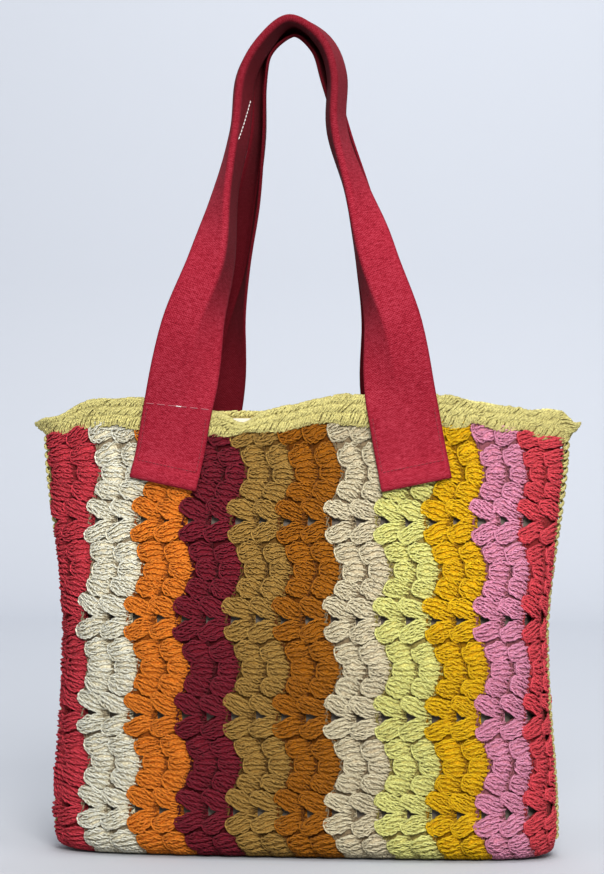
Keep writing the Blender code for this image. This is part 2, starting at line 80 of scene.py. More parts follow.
def wall_section(height):
    """Half width, half depth and squareness of the bag's inside at a height above the base."""
    if height < BULGE_HEIGHT:
        share = (height - FOLD_RADIUS) / (BULGE_HEIGHT - FOLD_RADIUS)
        width = eased(BASE_HALF_WIDTH, BULGE_HALF_WIDTH, share)
        return width, eased(BASE_HALF_DEPTH, BULGE_HALF_DEPTH, share), WALL_SQUARENESS
    share = (height - BULGE_HEIGHT) / (FABRIC_TOP - BULGE_HEIGHT)
    width = eased(BULGE_HALF_WIDTH, MOUTH_HALF_WIDTH, share)
    depth = eased(BULGE_HALF_DEPTH, MOUTH_HALF_DEPTH, share)
    return width, depth, eased(WALL_SQUARENESS, MOUTH_SQUARENESS, share)


def corner_lift(share, height):
    """How far the base rises towards its ends, at shares of the half width."""
    share = np.clip((share - CORNER_LIFT_START) / (1 - CORNER_LIFT_START), 0, 1)
    return CORNER_LIFT * share**2 * max(1 - height / CORNER_LIFT_HEIGHT, 0.0)


def wall_line(run):
    """The wall's points from side to side at one run; a run is 0 under the base and negative in front."""
    reach, side = abs(run), math.copysign(1.0, run)
    if reach < BASE_FLAT:
        depth, height = run, 0.0
    elif reach < BASE_FLAT + FOLD_LENGTH:
        turn = (reach - BASE_FLAT) / FOLD_RADIUS
        depth = side * (BASE_FLAT + FOLD_RADIUS * math.sin(turn))
        height = FOLD_RADIUS * (1 - math.cos(turn))
    else:
        height = FOLD_RADIUS + reach - BASE_FLAT - FOLD_LENGTH
        depth = side * wall_section(height)[1]
    half_width, half_depth, squareness = wall_section(height)
    across, deep = oval(np.linspace(math.pi, 0.0, 3001), squareness)
    across = half_width * across
    length = np.concatenate([[0.0], np.cumsum(np.hypot(np.diff(across), half_depth * np.diff(deep)))])
    along = 2 * length / length[-1] - 1
    return np.stack([
        np.interp(WALL_SHARES, along, across),
        depth * np.interp(WALL_SHARES, along, deep),
        FABRIC_THICKNESS + height + corner_lift(np.abs(WALL_SHARES), height),
    ], axis=1)


WALL_SHARES = np.linspace(-1.0, 1.0, 601)
WALL_RUNS = np.linspace(-FABRIC_REACH - 0.03, FABRIC_REACH + 0.03, 367)
wall_points = np.array([wall_line(run) for run in WALL_RUNS])
wall_out = np.cross(np.gradient(wall_points, axis=0), np.gradient(wall_points, axis=1))
wall_out /= np.maximum(np.linalg.norm(wall_out, axis=2, keepdims=True), 1e-12)


def on_wall(share, run, out):
    """Points on the wall and the way out from them, for arrays of shares, runs and distances out."""
    share, run, out = np.broadcast_arrays(share, run, out)
    column = (np.clip(share, -1, 1) + 1) / 2 * (len(WALL_SHARES) - 1)
    row = (np.clip(run, WALL_RUNS[0], WALL_RUNS[-1]) - WALL_RUNS[0]) / (WALL_RUNS[1] - WALL_RUNS[0])
    left = np.minimum(column.astype(int), len(WALL_SHARES) - 2)
    low = np.minimum(row.astype(int), len(WALL_RUNS) - 2)
    a, b = (column - left)[..., None], (row - low)[..., None]
    found = []
    for table in (wall_points, wall_out):
        under = table[low, left] * (1 - a) + table[low, left + 1] * a
        over = table[low + 1, left] * (1 - a) + table[low + 1, left + 1] * a
        found.append(under * (1 - b) + over * b)
    point, facing = found
    facing = facing / np.maximum(np.linalg.norm(facing, axis=-1, keepdims=True), 1e-12)
    return point + out[..., None] * facing, facing


# The eleven crochet bands.
# Each band is one yarn, worked in two rows of four-post clusters from the front mouth, under the base and up
# the back. The rows ripple: they swing left at each line of holes, where two clusters spread apart.
FABRIC_WIDTH = 0.396
SIDE_JOIN_HALF_WIDTH = 0.005
RIPPLE = 0.010
RIPPLE_SHIFT = 0.004
HOLE_DEPTH_SHARE = 0.55
YARN_RADIUS = 0.00088
POST_TWIST_RADIUS = 0.00086
POST_TURNS = 1.9
BAND_EDGE = 1 - 2 * SIDE_JOIN_HALF_WIDTH / FABRIC_WIDTH
# Runs of a cluster's tip and base above its line of holes, where its tip starts in the row, half its width,
# and how much further than the other clusters it reaches
CLUSTERS = (
    (0.0111, 0.0051, -0.22, 0.0067, 0.06),
    (0.0230, 0.0190, -0.03, 0.0072, 0.0),
    (0.0336, 0.0330, 0.12, 0.0076, 0.0),
    (0.0442, 0.0472, -0.05, 0.0076, 0.0),
    (0.0569, 0.0627, -0.20, 0.0069, 0.06),
)
POSTS = (-1.0, -0.33, 0.33, 1.0)
# Along a post from tip to base: its cluster's share of width, its twist's share and its rise in metres
POST_WIDTHS = ((0.0, 0.10, 0.42, 1.0), (0.38, 0.74, 1.0, 0.86))
POST_TWISTS = ((0.0, 0.2, 0.8, 1.0), (0.55, 1.0, 1.0, 0.8))
POST_ARCH = (
    (0.0, 0.06, 0.2, 0.38, 0.58, 0.8, 1.0),
    (0.0014, 0.0035, 0.0045, 0.0047, 0.0039, 0.0023, 0.0008),
)
CLUSTER_ROUNDING = 0.0006
STRAND_STRAY = 0.04
FLAT_OUT = 0.0015
LOOP_OUT = 0.0036
LOOP_SWEEP = 0.17
LOOP_WIDTH_SHARE = 0.70
# Crest values set the yarn's painted shade: yarn lying lower than CREST_HEIGHT out from the wall is painted
# darker, and the cluster cores, the row chains and the backing are painted darker still.
CREST_HEIGHT = 0.0055
CORE_OUT = 0.0008
CORE_INSET = 0.0006
CORE_DEPTH = 0.0016
CORE_CREST = 0.24
CHAIN_STEP = 0.0032
CHAIN_PITCH = 0.0125
CHAIN_OUT = 0.0011
CHAIN_CREST = 0.06
BACKING_OUT = 0.0006
ROW_REACH = 0.993
LAST_ROW_REACH = 1.32
CLUSTER_REACH = 1.10
STRAND_STEPS = np.array([0.0, 0.05, 0.16, 0.30, 0.44, 0.58, 0.72, 0.86, 1.0])
# The colours of bands 07 to 11, on the right, are painted brighter as the light falls more strongly on that
# side; bands 01 and 11 are the same red yarn, with band 11's painted lighter.
BAND_YARNS = {
    "band_01_red": (0.590, 0.046, 0.066),
    "band_02_white": (0.880, 0.820, 0.600),
    "band_03_orange": (0.775, 0.215, 0.020),
    "band_04_burgundy": (0.184, 0.011, 0.023),
    "band_05_khaki": (0.370, 0.211, 0.048),
    "band_06_brown": (0.365, 0.122, 0.006),
    "band_07_ivory": (0.690, 0.600, 0.405),
    "band_08_pale_yellow": (0.790, 0.750, 0.240),
    "band_09_mustard": (0.825, 0.455, 0.006),
    "band_10_pink": (0.765, 0.285, 0.415),
    "band_11_red": (0.690, 0.066, 0.086),
}
BAND_SHARE = 2 * BAND_EDGE / len(BAND_YARNS)
# How far the bands' upper ends stand above their common height, at places along the mouth
BAND_TOPS = (
    (-0.185, -0.001), (-0.150, 0.007), (-0.065, 0.001), (-0.050, -0.001), (-0.010, 0.004),
    (0.008, 0.008), (0.034, 0.007), (0.100, 0.009), (0.112, 0.004), (0.126, 0.008),
    (0.143, 0.004), (0.160, 0.002), (0.175, -0.003), (0.190, -0.005),
)
BAND_TOP_STRETCH = 0.020
# Places along the yarn's shading, and what its colour is multiplied by there: painted shade at the low end,
# where the yarn lies deep between the stitches, and painted highlight at the top
YARN_PAINTED_SHADES = (
    (0.0, (0.10, 0.07, 0.06)),
    (0.30, (0.46, 0.40, 0.34)),
    (0.68, (1.0, 1.0, 1.0)),
    (1.0, (1.28, 1.32, 1.36)),
)
BRIGHTEST = 0.92
PLY_PITCH = 0.0036


def ripple_share(share, run):
    """How far the ripple moves a stitch to the right; it fades out at the side joins."""
    wave = 0.5 - 0.5 * np.cos(2 * np.pi * run / STITCH_REPEAT)
    fade = 1 - np.minimum(np.abs(share) / BAND_EDGE, 1.0) ** 4
    return 2 * (RIPPLE_SHIFT + RIPPLE * wave) / FABRIC_WIDTH * fade


def risen(run):
    """How far the fabric has turned up at a run: 0 on the flat base and 1 above the fold."""
    return eased(0.0, 1.0, (run - BASE_FLAT) / FOLD_LENGTH)


def row_point(row_left, across, run, out):
    """A point of a row: across is 0 at the row's left edge and 1 at its right edge."""
    share = np.clip(row_left + across * BAND_SHARE / 2, -ROW_REACH, ROW_REACH)
    run = np.clip(run, -FABRIC_REACH, FABRIC_REACH)
    share = share + ripple_share(share, run)
    climb = np.interp(share * FABRIC_WIDTH / 2, *zip(*BAND_TOPS))
    climb = climb * eased(0.0, 1.0, 1 - (FABRIC_REACH - np.abs(run)) / BAND_TOP_STRETCH)
    return on_wall(share, run + np.sign(run) * climb, out)


def set_values(mesh, label, values):
    """Gives each point of a mesh a value under a label, for the yarn tree and the materials."""
    mesh.attributes.new(label, "FLOAT", "POINT").data.foreach_set("value", values)


class Paths:
    """Gathers the lines that yarns follow, and the close fabric under them, for one piece."""

    def __init__(self):
        self.points, self.facing, self.girth, self.crest, self.tone, self.edges = [], [], [], [], [], []
        self.sheet_points, self.sheet_faces, self.sheet_crest = [], [], []
        self.count = 0

    def add(self, points, facing, girth, crest, tone):
        """Adds many lines at once, from arrays of lines by steps."""
        lines, steps = points.shape[:2]
        first = self.count + np.arange(lines)[:, None] * steps + np.arange(steps - 1)
        self.edges.append(np.stack([first, first + 1], axis=-1).reshape(-1, 2))
        self.points.append(points.reshape(-1, 3))
        self.facing.append(facing.reshape(-1, 3))
        for kept, value in ((self.girth, girth), (self.crest, crest), (self.tone, tone)):
            kept.append(np.broadcast_to(value, (lines, steps)).reshape(-1).astype(float))
        self.count += lines * steps

    def sheet(self, points, faces, crest):
        """Adds fabric under the lines, from its points and the faces between them."""
        first = len(self.sheet_points)
        self.sheet_points += np.asarray(points).reshape(-1, 3).tolist()
        self.sheet_faces += [[first + corner for corner in face] for face in faces]
        self.sheet_crest += [crest] * (len(self.sheet_points) - first)

    def mesh(self, name):
        """The lines as loose edges, with the fabric's faces beside them."""
        points = np.concatenate(self.points + [np.array(self.sheet_points).reshape(-1, 3)])
        faces = [[corner + self.count for corner in face] for face in self.sheet_faces]
        mesh = bpy.data.meshes.new(name)
        mesh.from_pydata(points.tolist(), np.concatenate(self.edges).tolist(), faces)
        spare = len(points) - self.count
        facing = np.concatenate(self.facing + [np.tile([0.0, 0.0, 1.0], (spare, 1))])
        mesh.attributes.new("facing", "FLOAT_VECTOR", "POINT").data.foreach_set("vector", facing.ravel())
        set_values(mesh, "girth", np.concatenate(self.girth + [np.ones(spare)]))
        set_values(mesh, "crest", np.concatenate(self.crest + [self.sheet_crest]))
        set_values(mesh, "tone", np.concatenate(self.tone + [np.full(spare, 0.5)]))
        return mesh


def grid_faces(rows, columns, flipped):
    """Quads between the points of a grid that is laid out row by row."""
    faces = []
    for row in range(rows - 1):
        for column in range(columns - 1):
            corner = row * columns + column
            face = [corner, corner + 1, corner + columns + 1, corner + columns]
            faces.append(face[::-1] if flipped else face)
    return faces


def ring_faces(rings, sides):
    """Quads between rings of points laid out one after another, with a face over each end."""
    faces = []
    for here, there in zip(range(0, (rings - 1) * sides, sides), range(sides, rings * sides, sides)):
        for k in range(sides):
            beside = (k + 1) % sides
            faces.append([here + k, here + beside, there + beside, there + k])
    return faces + [list(range(sides))[::-1], list(range((rings - 1) * sides, rings * sides))]


def feed(tree, made, inputs):
    """Feeds a node's inputs from values or from other nodes' sockets."""
    for key, value in inputs.items():
        if isinstance(value, bpy.types.NodeSocket):
            tree.links.new(value, made.inputs[key])
        else:
            made.inputs[key].default_value = value


def node(tree, kind, inputs=None, **settings):
    made = tree.nodes.new(kind)
    for setting, value in settings.items():
        setattr(made, setting, value)
    feed(tree, made, inputs or {})
    return made


def maths(tree, operation, *values):
    return node(tree, "ShaderNodeMath", dict(enumerate(values)), operation=operation).outputs[0]


def vectors(tree, operation, inputs):
    return node(tree, "ShaderNodeVectorMath", inputs, operation=operation).outputs[0]


def attribute(tree, name):
    return node(tree, "ShaderNodeAttribute", attribute_name=name).outputs["Fac"]


def position(tree):
    return node(tree, "ShaderNodeTexCoord").outputs["Object"]


def noise(tree, place, scale, detail):
    made = node(tree, "ShaderNodeTexNoise", {"Vector": place, "Scale": scale, "Detail": detail})
    return made.outputs["Fac"]


def ranged(tree, value, *limits):
    """A value mapped from its lowest and highest to 0 and 1, or to two more limits."""
    return node(tree, "ShaderNodeMapRange", dict(enumerate((value, *limits)))).outputs[0]


def mixed(tree, share, first, second):
    return node(tree, "ShaderNodeMix", {0: share, 6: first, 7: second}, data_type="RGBA").outputs[2]


def ramped(tree, factor, stops):
    """A colour ramp's result; stops are its places and colours, from first to last."""
    ramp = node(tree, "ShaderNodeValToRGB", {0: factor})
    elements = ramp.color_ramp.elements
    elements[0].position, elements[1].position = stops[0][0], stops[-1][0]
    for spot, _ in stops[1:-1]:
        elements.new(spot)
    for element, (_, colour) in zip(elements, stops):
        element.color = (*colour, 1.0)
    return ramp.outputs[0]


def bump(tree, strength, distance, height):
    inputs = {"Strength": strength, "Distance": distance, "Height": height}
    return node(tree, "ShaderNodeBump", inputs).outputs[0]


def new_material(name):
    """A new material, its node tree and its shader."""
    made = bpy.data.materials.new(name)
    made.use_nodes = True
    return made, made.node_tree, made.node_tree.nodes["Principled BSDF"]


def place_in_scene(name, data):
    made = bpy.data.objects.new(name, data)
    bpy.context.scene.collection.objects.link(made)
    return made


def yarn_tree():
    """Geometry Nodes that lay yarn along a mesh's loose edges and keep its backing's faces."""
    tree = bpy.data.node_groups.new("yarn along paths", "GeometryNodeTree")
    for name, kind in (("Geometry", "Geometry"), ("Yarn Radius", "Float"), ("Sides", "Int"),
                       ("Waver", "Float"), ("Seed", "Float"), ("Yarn", "Material")):
        tree.interface.new_socket(name, in_out="INPUT", socket_type="NodeSocket" + kind)
    tree.interface.new_socket("Geometry", in_out="OUTPUT", socket_type="NodeSocketGeometry")
    given = tree.nodes.new("NodeGroupInput").outputs

    def step(kind, inputs=None, **settings):
        return node(tree, "GeometryNode" + kind, inputs, **settings).outputs

    def stored(geometry, name, value):
        inputs = {"Geometry": geometry, "Name": name, "Value": value}
        return step("StoreNamedAttribute", inputs, data_type="FLOAT", domain="POINT")[0]

    sides = {2: step("InputMeshEdgeNeighbors")[0], 3: 0}
    loose = node(tree, "FunctionNodeCompare", sides, data_type="INT", operation="EQUAL").outputs[0]
    parted = step("SeparateGeometry", {0: given["Geometry"], 1: loose}, domain="EDGE")
    lines = step("MeshToCurve", {"Mesh": parted[0]})[0]
    drift = node(tree, "ShaderNodeTexNoise", {"W": given["Seed"], "Scale": 260.0}, noise_dimensions="4D")
    waver = vectors(tree, "SUBTRACT", {0: drift.outputs["Color"], 1: (0.5, 0.5, 0.5)})
    waver = vectors(tree, "SCALE", {0: waver, "Scale": given["Waver"]})
    lines = step("SetPosition", {"Geometry": lines, "Offset": waver})[0]
    girth = step("InputNamedAttribute", {"Name": "girth"}, data_type="FLOAT")[0]
    lines = step("SetCurveRadius", {"Curve": lines, "Radius": girth})[0]
    facing = step("InputNamedAttribute", {"Name": "facing"}, data_type="FLOAT_VECTOR")[0]
    lines = step("SetCurveNormal", {"Curve": lines, "Normal": facing}, mode="FREE")[0]
    place = step("SplineParameter")
    lines = stored(lines, "run", place["Length"])
    ring = step("CurvePrimitiveCircle", {"Resolution": given["Sides"], "Radius": given["Yarn Radius"]})[0]
    ring = stored(ring, "around", place["Factor"])
    yarn = step("CurveToMesh", {"Curve": lines, "Profile Curve": ring, "Fill Caps": True})[0]
    joined = node(tree, "GeometryNodeJoinGeometry")
    tree.links.new(parted[1], joined.inputs[0])
    tree.links.new(yarn, joined.inputs[0])
    smooth = step("SetShadeSmooth", {"Geometry": joined.outputs[0]})[0]
    real = step("RealizeInstances", {"Geometry": smooth})[0]
    painted = step("SetMaterial", {"Geometry": real, "Material": given["Yarn"]})[0]
    node(tree, "NodeGroupOutput", {0: painted})
    return tree


YARN_TREE = yarn_tree()


def lay_yarn(name, mesh, material, radius, sides=5, waver=0.0006, seed=1.0):
    """Runs the yarn tree over a mesh of paths and returns the plain mesh piece."""
    guide = place_in_scene(name + "_paths", mesh)
    laid = guide.modifiers.new("yarn", "NODES")
    laid.node_group = YARN_TREE
    values = {"Yarn Radius": radius, "Sides": sides, "Waver": waver, "Seed": seed, "Yarn": material}
    for item in YARN_TREE.interface.items_tree:
        if item.in_out == "INPUT" and item.name in values:
            laid[item.identifier] = values[item.name]
    seen = bpy.context.evaluated_depsgraph_get()
    piece = place_in_scene(name, bpy.data.meshes.new_from_object(guide.evaluated_get(seen)))
    guide.modifiers.remove(laid)
    bpy.data.objects.remove(guide)
    return piece


def yarn_material(name, colour):
    """Soft plied yarn: plies wind round it with painted shade between them, fibres fleck it, painted shade
    darkens it down between the stitches and painted highlight lightens its crests.
    """
    made, tree, shader = new_material(name)
    place = position(tree)
    turn = maths(tree, "MULTIPLY", attribute(tree, "run"), 2 * math.pi / PLY_PITCH)
    turn = maths(tree, "MULTIPLY_ADD", attribute(tree, "around"), 6 * math.pi, turn)
    ply = maths(tree, "MULTIPLY_ADD", maths(tree, "SINE", turn), 0.5, 0.5)
    fibre = noise(tree, place, 1500.0, 3.0)
    cloud = noise(tree, place, 45.0, 2.0)
    knob = noise(tree, place, 620.0, 1.0)
    light = maths(tree, "MULTIPLY_ADD", ply, 0.44, 0.61)
    for source, weight in ((fibre, 0.34), (knob, 0.95), (cloud, 0.22), (attribute(tree, "tone"), 0.20)):
        shifted = maths(tree, "SUBTRACT", source, 0.5)
        light = maths(tree, "MULTIPLY_ADD", shifted, weight, light)
    # Painted shade: the colour darkens with the yarn's crest, standing in for the shade down between the
    # stitches.
    deep = ranged(tree, attribute(tree, "crest"), 0.0, 0.45, 0.20, 1.0)
    stops = [(spot, [min(channel * scale, BRIGHTEST) for channel, scale in zip(colour, scales)])
             for spot, scales in YARN_PAINTED_SHADES]
    height = maths(tree, "MULTIPLY_ADD", knob, 2.4, maths(tree, "MULTIPLY_ADD", fibre, 0.8, ply))
    feed(tree, shader, {
        "Base Color": ramped(tree, maths(tree, "MULTIPLY", light, deep), stops),
        "Roughness": ranged(tree, fibre, 0.3, 0.7, 0.80, 0.98),
        "Normal": bump(tree, 0.9, 0.0007, height),
        "Specular IOR Level": 0.08,
        "Sheen Weight": 0.03,
        "Sheen Roughness": 0.5,
    })
    return made


def cluster_lines(paths, row_left, side, reach, chance):
    """The strands of all clusters of one row on one wall: four twisted posts and a loop round each tip."""
    repeats = np.repeat(np.arange(REPEATS_PER_WALL) * STITCH_REPEAT, len(CLUSTERS))
    tip, base, start, half, further = np.tile(np.array(CLUSTERS).T, REPEATS_PER_WALL)
    reach = reach + further
    closing = 1 + 3 * further
    count = len(tip)
    tip = repeats + tip + chance.uniform(-0.0010, 0.0010, count)
    base = repeats + base + chance.uniform(-0.0006, 0.0006, count)
    start = start + chance.uniform(-0.06, 0.06, count)
    half = half * chance.uniform(0.94, 1.08, count)
    swell = chance.uniform(0.85, 1.12, count)

    def spread(values):
        return values[:, None, None, None]

    share = STRAND_STEPS
    post = np.array(POSTS)[:, None, None]
    strand = np.arange(3)[:, None]
    phase = chance.uniform(0, 2 * np.pi, (count, len(POSTS)))[:, :, None, None]
    strays = chance.uniform(-1, 1, (4, count, len(POSTS), 3, 1))
    across = spread(start) + STRAND_STRAY * strays[0]
    across = across + (spread(reach) + STRAND_STRAY * strays[1] - spread(start)) * share
    width = np.interp(share, *POST_WIDTHS)
    twist = POST_TWIST_RADIUS * np.interp(share, *POST_TWISTS)
    angle = 2 * np.pi * (POST_TURNS * share + strand / 3) + phase
    middle = spread(tip) + spread(base - tip) * eased(0.0, 1.0, share * spread(closing))
    offset = post * (spread(half) * width - YARN_RADIUS - POST_TWIST_RADIUS * 0.8)
    run = middle + offset + twist * np.cos(angle)
    run = run + 0.0006 * np.sin(np.pi * (2.3 * share + strays[2] * 1.5))
    raised = risen(run)
    arch = np.interp(share, *POST_ARCH) * spread(swell) - CLUSTER_ROUNDING * np.abs(post)
    out = FLAT_OUT + (arch - FLAT_OUT) * raised
    out = out + twist * np.sin(angle) * (0.35 + 0.45 * raised)
    out = out + 0.0004 * raised * np.sin(np.pi * (2.0 * share + strays[3] * 1.5))
    points, facing = row_point(row_left, across, side * run, out)
    shape = (count * len(POSTS) * 3, len(share))
    crest = np.clip(out / CREST_HEIGHT, 0, 1).reshape(shape)
    tone = chance.uniform(0, 1, (shape[0], 1))
    paths.add(points.reshape(*shape, 3), facing.reshape(*shape, 3), 1.0, crest, tone)

    aside = np.array([-1.0, -0.4, 0.4, 1.0])[:, None]
    run = middle[:, 0] + aside * (half[:, None, None] * width - CORE_INSET)
    out = CORE_OUT + risen(run) * (arch[:, 0] - CORE_DEPTH - CLUSTER_ROUNDING * aside**2)
    across = start[:, None, None] + 0.03 + (reach - start)[:, None, None] * share
    body, _ = row_point(row_left, across, side * run, out)
    for core in body:
        paths.sheet(core, grid_faces(len(aside), len(share), side > 0), CORE_CREST)

    bend = np.linspace(-1.0, 1.0, 6)
    across = start[:, None] + 0.02 + LOOP_SWEEP * np.abs(bend) ** 1.6
    run = tip[:, None] + (base - tip)[:, None] * 0.05
    run = run + half[:, None] * LOOP_WIDTH_SHARE * np.sin(bend * np.pi / 2)
    out = FLAT_OUT + risen(run) * (LOOP_OUT * (1 - 0.45 * bend**2) - FLAT_OUT)
    points, facing = row_point(row_left, across, side * run, out)
    paths.add(points, facing, 1.0, np.clip(out / CREST_HEIGHT, 0, 1), chance.uniform(0, 1, (count, 1)))


def row_chain(paths, row_left, chance):
    """The chain of two turned strands along a row's left edge, which the clusters are worked over."""
    run = np.arange(-FABRIC_REACH, FABRIC_REACH, CHAIN_STEP)[None, :]
    turn = 2 * np.pi * run / CHAIN_PITCH + np.array([[0.0], [np.pi]])
    raised = risen(np.abs(run))
    out = CHAIN_OUT + 0.0002 * raised + (0.0003 + 0.0003 * raised) * np.sin(turn)
    points, facing = row_point(row_left, 0.02 + 0.055 * np.cos(turn), run, out)
    paths.add(points, facing, 1.0, CHAIN_CREST, chance.uniform(0.2, 0.8, (2, 1)))


def row_backing(paths, row_left):
    """The close fabric behind one row's clusters, open at the holes but not beside the side joins."""
    beside_hole = HOLE_HALF_HEIGHT + 0.002
    marks = np.array([0.0, beside_hole, 0.012, 0.021, 0.034, 0.047, 0.056, STITCH_REPEAT - beside_hole])
    runs = (np.arange(REPEATS_PER_WALL)[:, None] * STITCH_REPEAT + marks).ravel()
    runs = np.unique(np.round(np.concatenate([-runs, runs]), 6))
    steps = np.array([0.0, 0.30, HOLE_DEPTH_SHARE + 0.06, 0.8, 1.0])
    outermost = abs(row_left + BAND_SHARE / 4) > BAND_EDGE - BAND_SHARE / 2
    counts = [] if outermost else range(1 - REPEATS_PER_WALL, REPEATS_PER_WALL)
    holes = [count * STITCH_REPEAT for count in counts if count]
    points, _ = row_point(row_left, steps, runs[:, None], BACKING_OUT)
    faces = []
    for line in range(len(runs) - 1):
        low, high = line * len(steps), (line + 1) * len(steps)
        low_hole = any(abs(runs[line] - hole) < 1e-5 for hole in holes)
        high_hole = any(abs(runs[line + 1] - hole) < 1e-5 for hole in holes)
        if low_hole:
            faces += [[low + 2, high + 1, high], [low + 2, high + 2, high + 1]]
        elif high_hole:
            faces += [[low, low + 1, high + 2], [low + 1, low + 2, high + 2]]
        for column in range(2 if low_hole or high_hole else 0, len(steps) - 1):
            faces.append([low + column, low + column + 1, high + column + 1, high + column])
    # Painted shade: the backing gets crest 0, the darkest painted shade of the yarn.
    paths.sheet(points, faces, 0.0)


for number, (name, colour) in enumerate(BAND_YARNS.items()):
    chance = np.random.default_rng(40 + number)
    left = -BAND_EDGE + number * BAND_SHARE
    paths = Paths()
    for row in (0, 1):
        row_left = left + row * BAND_SHARE / 2
        is_last = number == len(BAND_YARNS) - 1 and row == 1
        for side in (-1, 1):
            cluster_lines(paths, row_left, side, LAST_ROW_REACH if is_last else CLUSTER_REACH, chance)
        row_chain(paths, row_left, chance)
        row_backing(paths, row_left)
    material = yarn_material(name.split("_", 2)[2] + " yarn " + name[5:7], colour)
    band = lay_yarn(name + "_crochet", paths.mesh(name), material, YARN_RADIUS, sides=3, seed=number)
    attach(band, "root")
    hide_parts(name)

# The side joins.
# Where the front and back edges of the crochet meet, the sides are closed with whip stitches in the pale
# yellow yarn of the mouth. Doubled stitches climb from the front lip over the join to the back lip.
EDGING_COLOUR = (0.640, 0.560, 0.205)
JOIN_HALF_DEPTH = 0.0060
JOIN_PITCH = 0.0058
JOIN_CLIMB = 0.0050
JOIN_START = BASE_FLAT + FOLD_LENGTH * 0.45
JOIN_YARN_RADIUS = 0.0010
JOIN_CORE_DEPTHS = (-0.0036, -0.0012, 0.0012, 0.0036)
edging_yarn = yarn_material("pale yellow edging yarn", EDGING_COLOUR)
for name, side in (("side_join_left", -1), ("side_join_right", 1)):
    chance = np.random.default_rng(70 + side)
    paths = Paths()
    share = np.linspace(0.0, 1.0, 8)
    for ply in (-0.5, 0.5):
        feet = np.arange(JOIN_START, FABRIC_REACH - 0.004, JOIN_PITCH)[:, None]
        run = feet + ply * 0.0014 + JOIN_CLIMB * share + chance.uniform(-0.0005, 0.0005, feet.shape)
        points, facing = on_wall(side, np.minimum(run, FABRIC_REACH), 0.0)
        points[..., 0] += side * (0.0018 + 0.0030 * np.sin(np.pi * share) ** 0.7)
        points[..., 1] += -JOIN_HALF_DEPTH * np.cos(np.pi * share)
        # Painted shade: each stitch is darker towards both ends, where it tucks into the fabric.
        paths.add(points, facing, 1.0, 0.3 + 0.6 * np.sin(np.pi * share), chance.uniform(0, 1, feet.shape))
    core = np.arange(JOIN_START, FABRIC_REACH, 0.004)[None, :]
    for depth in JOIN_CORE_DEPTHS:
        points, facing = on_wall(side, core, 0.0)
        points[..., 0] += side * (0.0016 + 0.0004 * np.sin(core * 1400 + depth * 900))
        points[..., 1] += depth
        # Painted shade: the cores under the stitches get a low crest and are painted dark.
        paths.add(points, facing, 1.7, 0.15, 0.4)
    join = lay_yarn(name + "_stitches", paths.mesh(name), edging_yarn, JOIN_YARN_RADIUS, seed=5.0 + side)
    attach(join, "root")
    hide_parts(name)

# The mouth edging.
# Three courses of short slanted stitches in pale yellow yarn, worked into the bands' upper ends; the last
# one rolls over the rim. It waves along the mouth, dips beside the left strap and droops at both ends.
EDGING_HEIGHT = 0.016
PIECE_GAP = 0.0003
EDGING_FLARE = 0.011
END_SHARPNESS = 8
END_THINNING = 0.6
EDGING_PITCH = 0.0027
EDGING_YARN_RADIUS = 0.00085
EDGING_RIPPLE = 0.0004
RIM_RIPPLE = 0.0009
FOOT_DIP = 0.0010
FOOT_SCALLOP = 0.0030
PATCH_PRESS = 0.26
PATCH_PRESS_REACH = 0.031
EDGING_DIP = 0.0100
EDGING_DIP_PLACE = -0.040
EDGING_DIP_WIDTH = 0.012
PATCH_SHIFT = -0.0060
FRONT_PATCH_SPREAD = 0.0795
BACK_PATCH_SPREAD = 0.069
# Places along the mouth, and how far the edging's rim stands above or below its middle height there
EDGING_PLACES = (
    -0.194, -0.172, -0.159, -0.144, -0.120, -0.068, -0.025, 0.008, 0.031, 0.108, 0.138, 0.184, 0.195,
)
EDGING_RISES = (
    -0.0100, -0.0035, 0.0030, 0.0070, 0.0070, -0.0032, -0.0008, 0.0050, 0.0085, 0.0080, 0.0008, -0.0028,
    -0.0115,
)
# Each course's levels as shares of the edging's height, its distances out and its lean in stitches
EDGING_COURSES = (
    ((-0.04, 0.06, 0.22, 0.38, 0.46), (0.0046, 0.0058, 0.0064, 0.0056, 0.0042), 2.0),
    ((0.36, 0.44, 0.56, 0.68, 0.74), (0.0044, 0.0058, 0.0066, 0.0058, 0.0042), 3.6),
    ((0.68, 0.86, 1.00, 1.00, 0.86), (0.0044, 0.0060, 0.0044, 0.0018, 0.0002), 4.4),
)
# Painted shade along each edging stitch: darker at both ends, lighter in its middle.
EDGING_CRESTS = (0.22, 0.7, 0.9, 0.7, 0.22)
# Distances out and levels of the close fabric inside the stitches
EDGING_CORE = (
    (0.0002, 0.10), (0.0045, 0.04), (0.0046, 0.45), (0.0042, 0.80), (0.0025, 0.92), (0.0006, 0.88),
)
EDGING_CORE_STEPS = 144
MOUTH_TOP = FABRIC_THICKNESS + FABRIC_TOP + EDGING_HEIGHT
EDGING_FOOT = FABRIC_THICKNESS + FABRIC_TOP + PIECE_GAP


def mouth_turn(length):
    """The turn round the mouth at a length along its ring, which starts at the right end."""
    turn = np.linspace(0.0, 2 * np.pi, 2881)
    half_width, half_depth, squareness = wall_section(FABRIC_TOP)
    across, deep = oval(turn, squareness)
    run = np.cumsum(np.hypot(half_width * np.diff(across), half_depth * np.diff(deep)))
    run = np.concatenate([[0.0], run])
    return np.interp(np.mod(length, 1.0) * run[-1], run, turn)


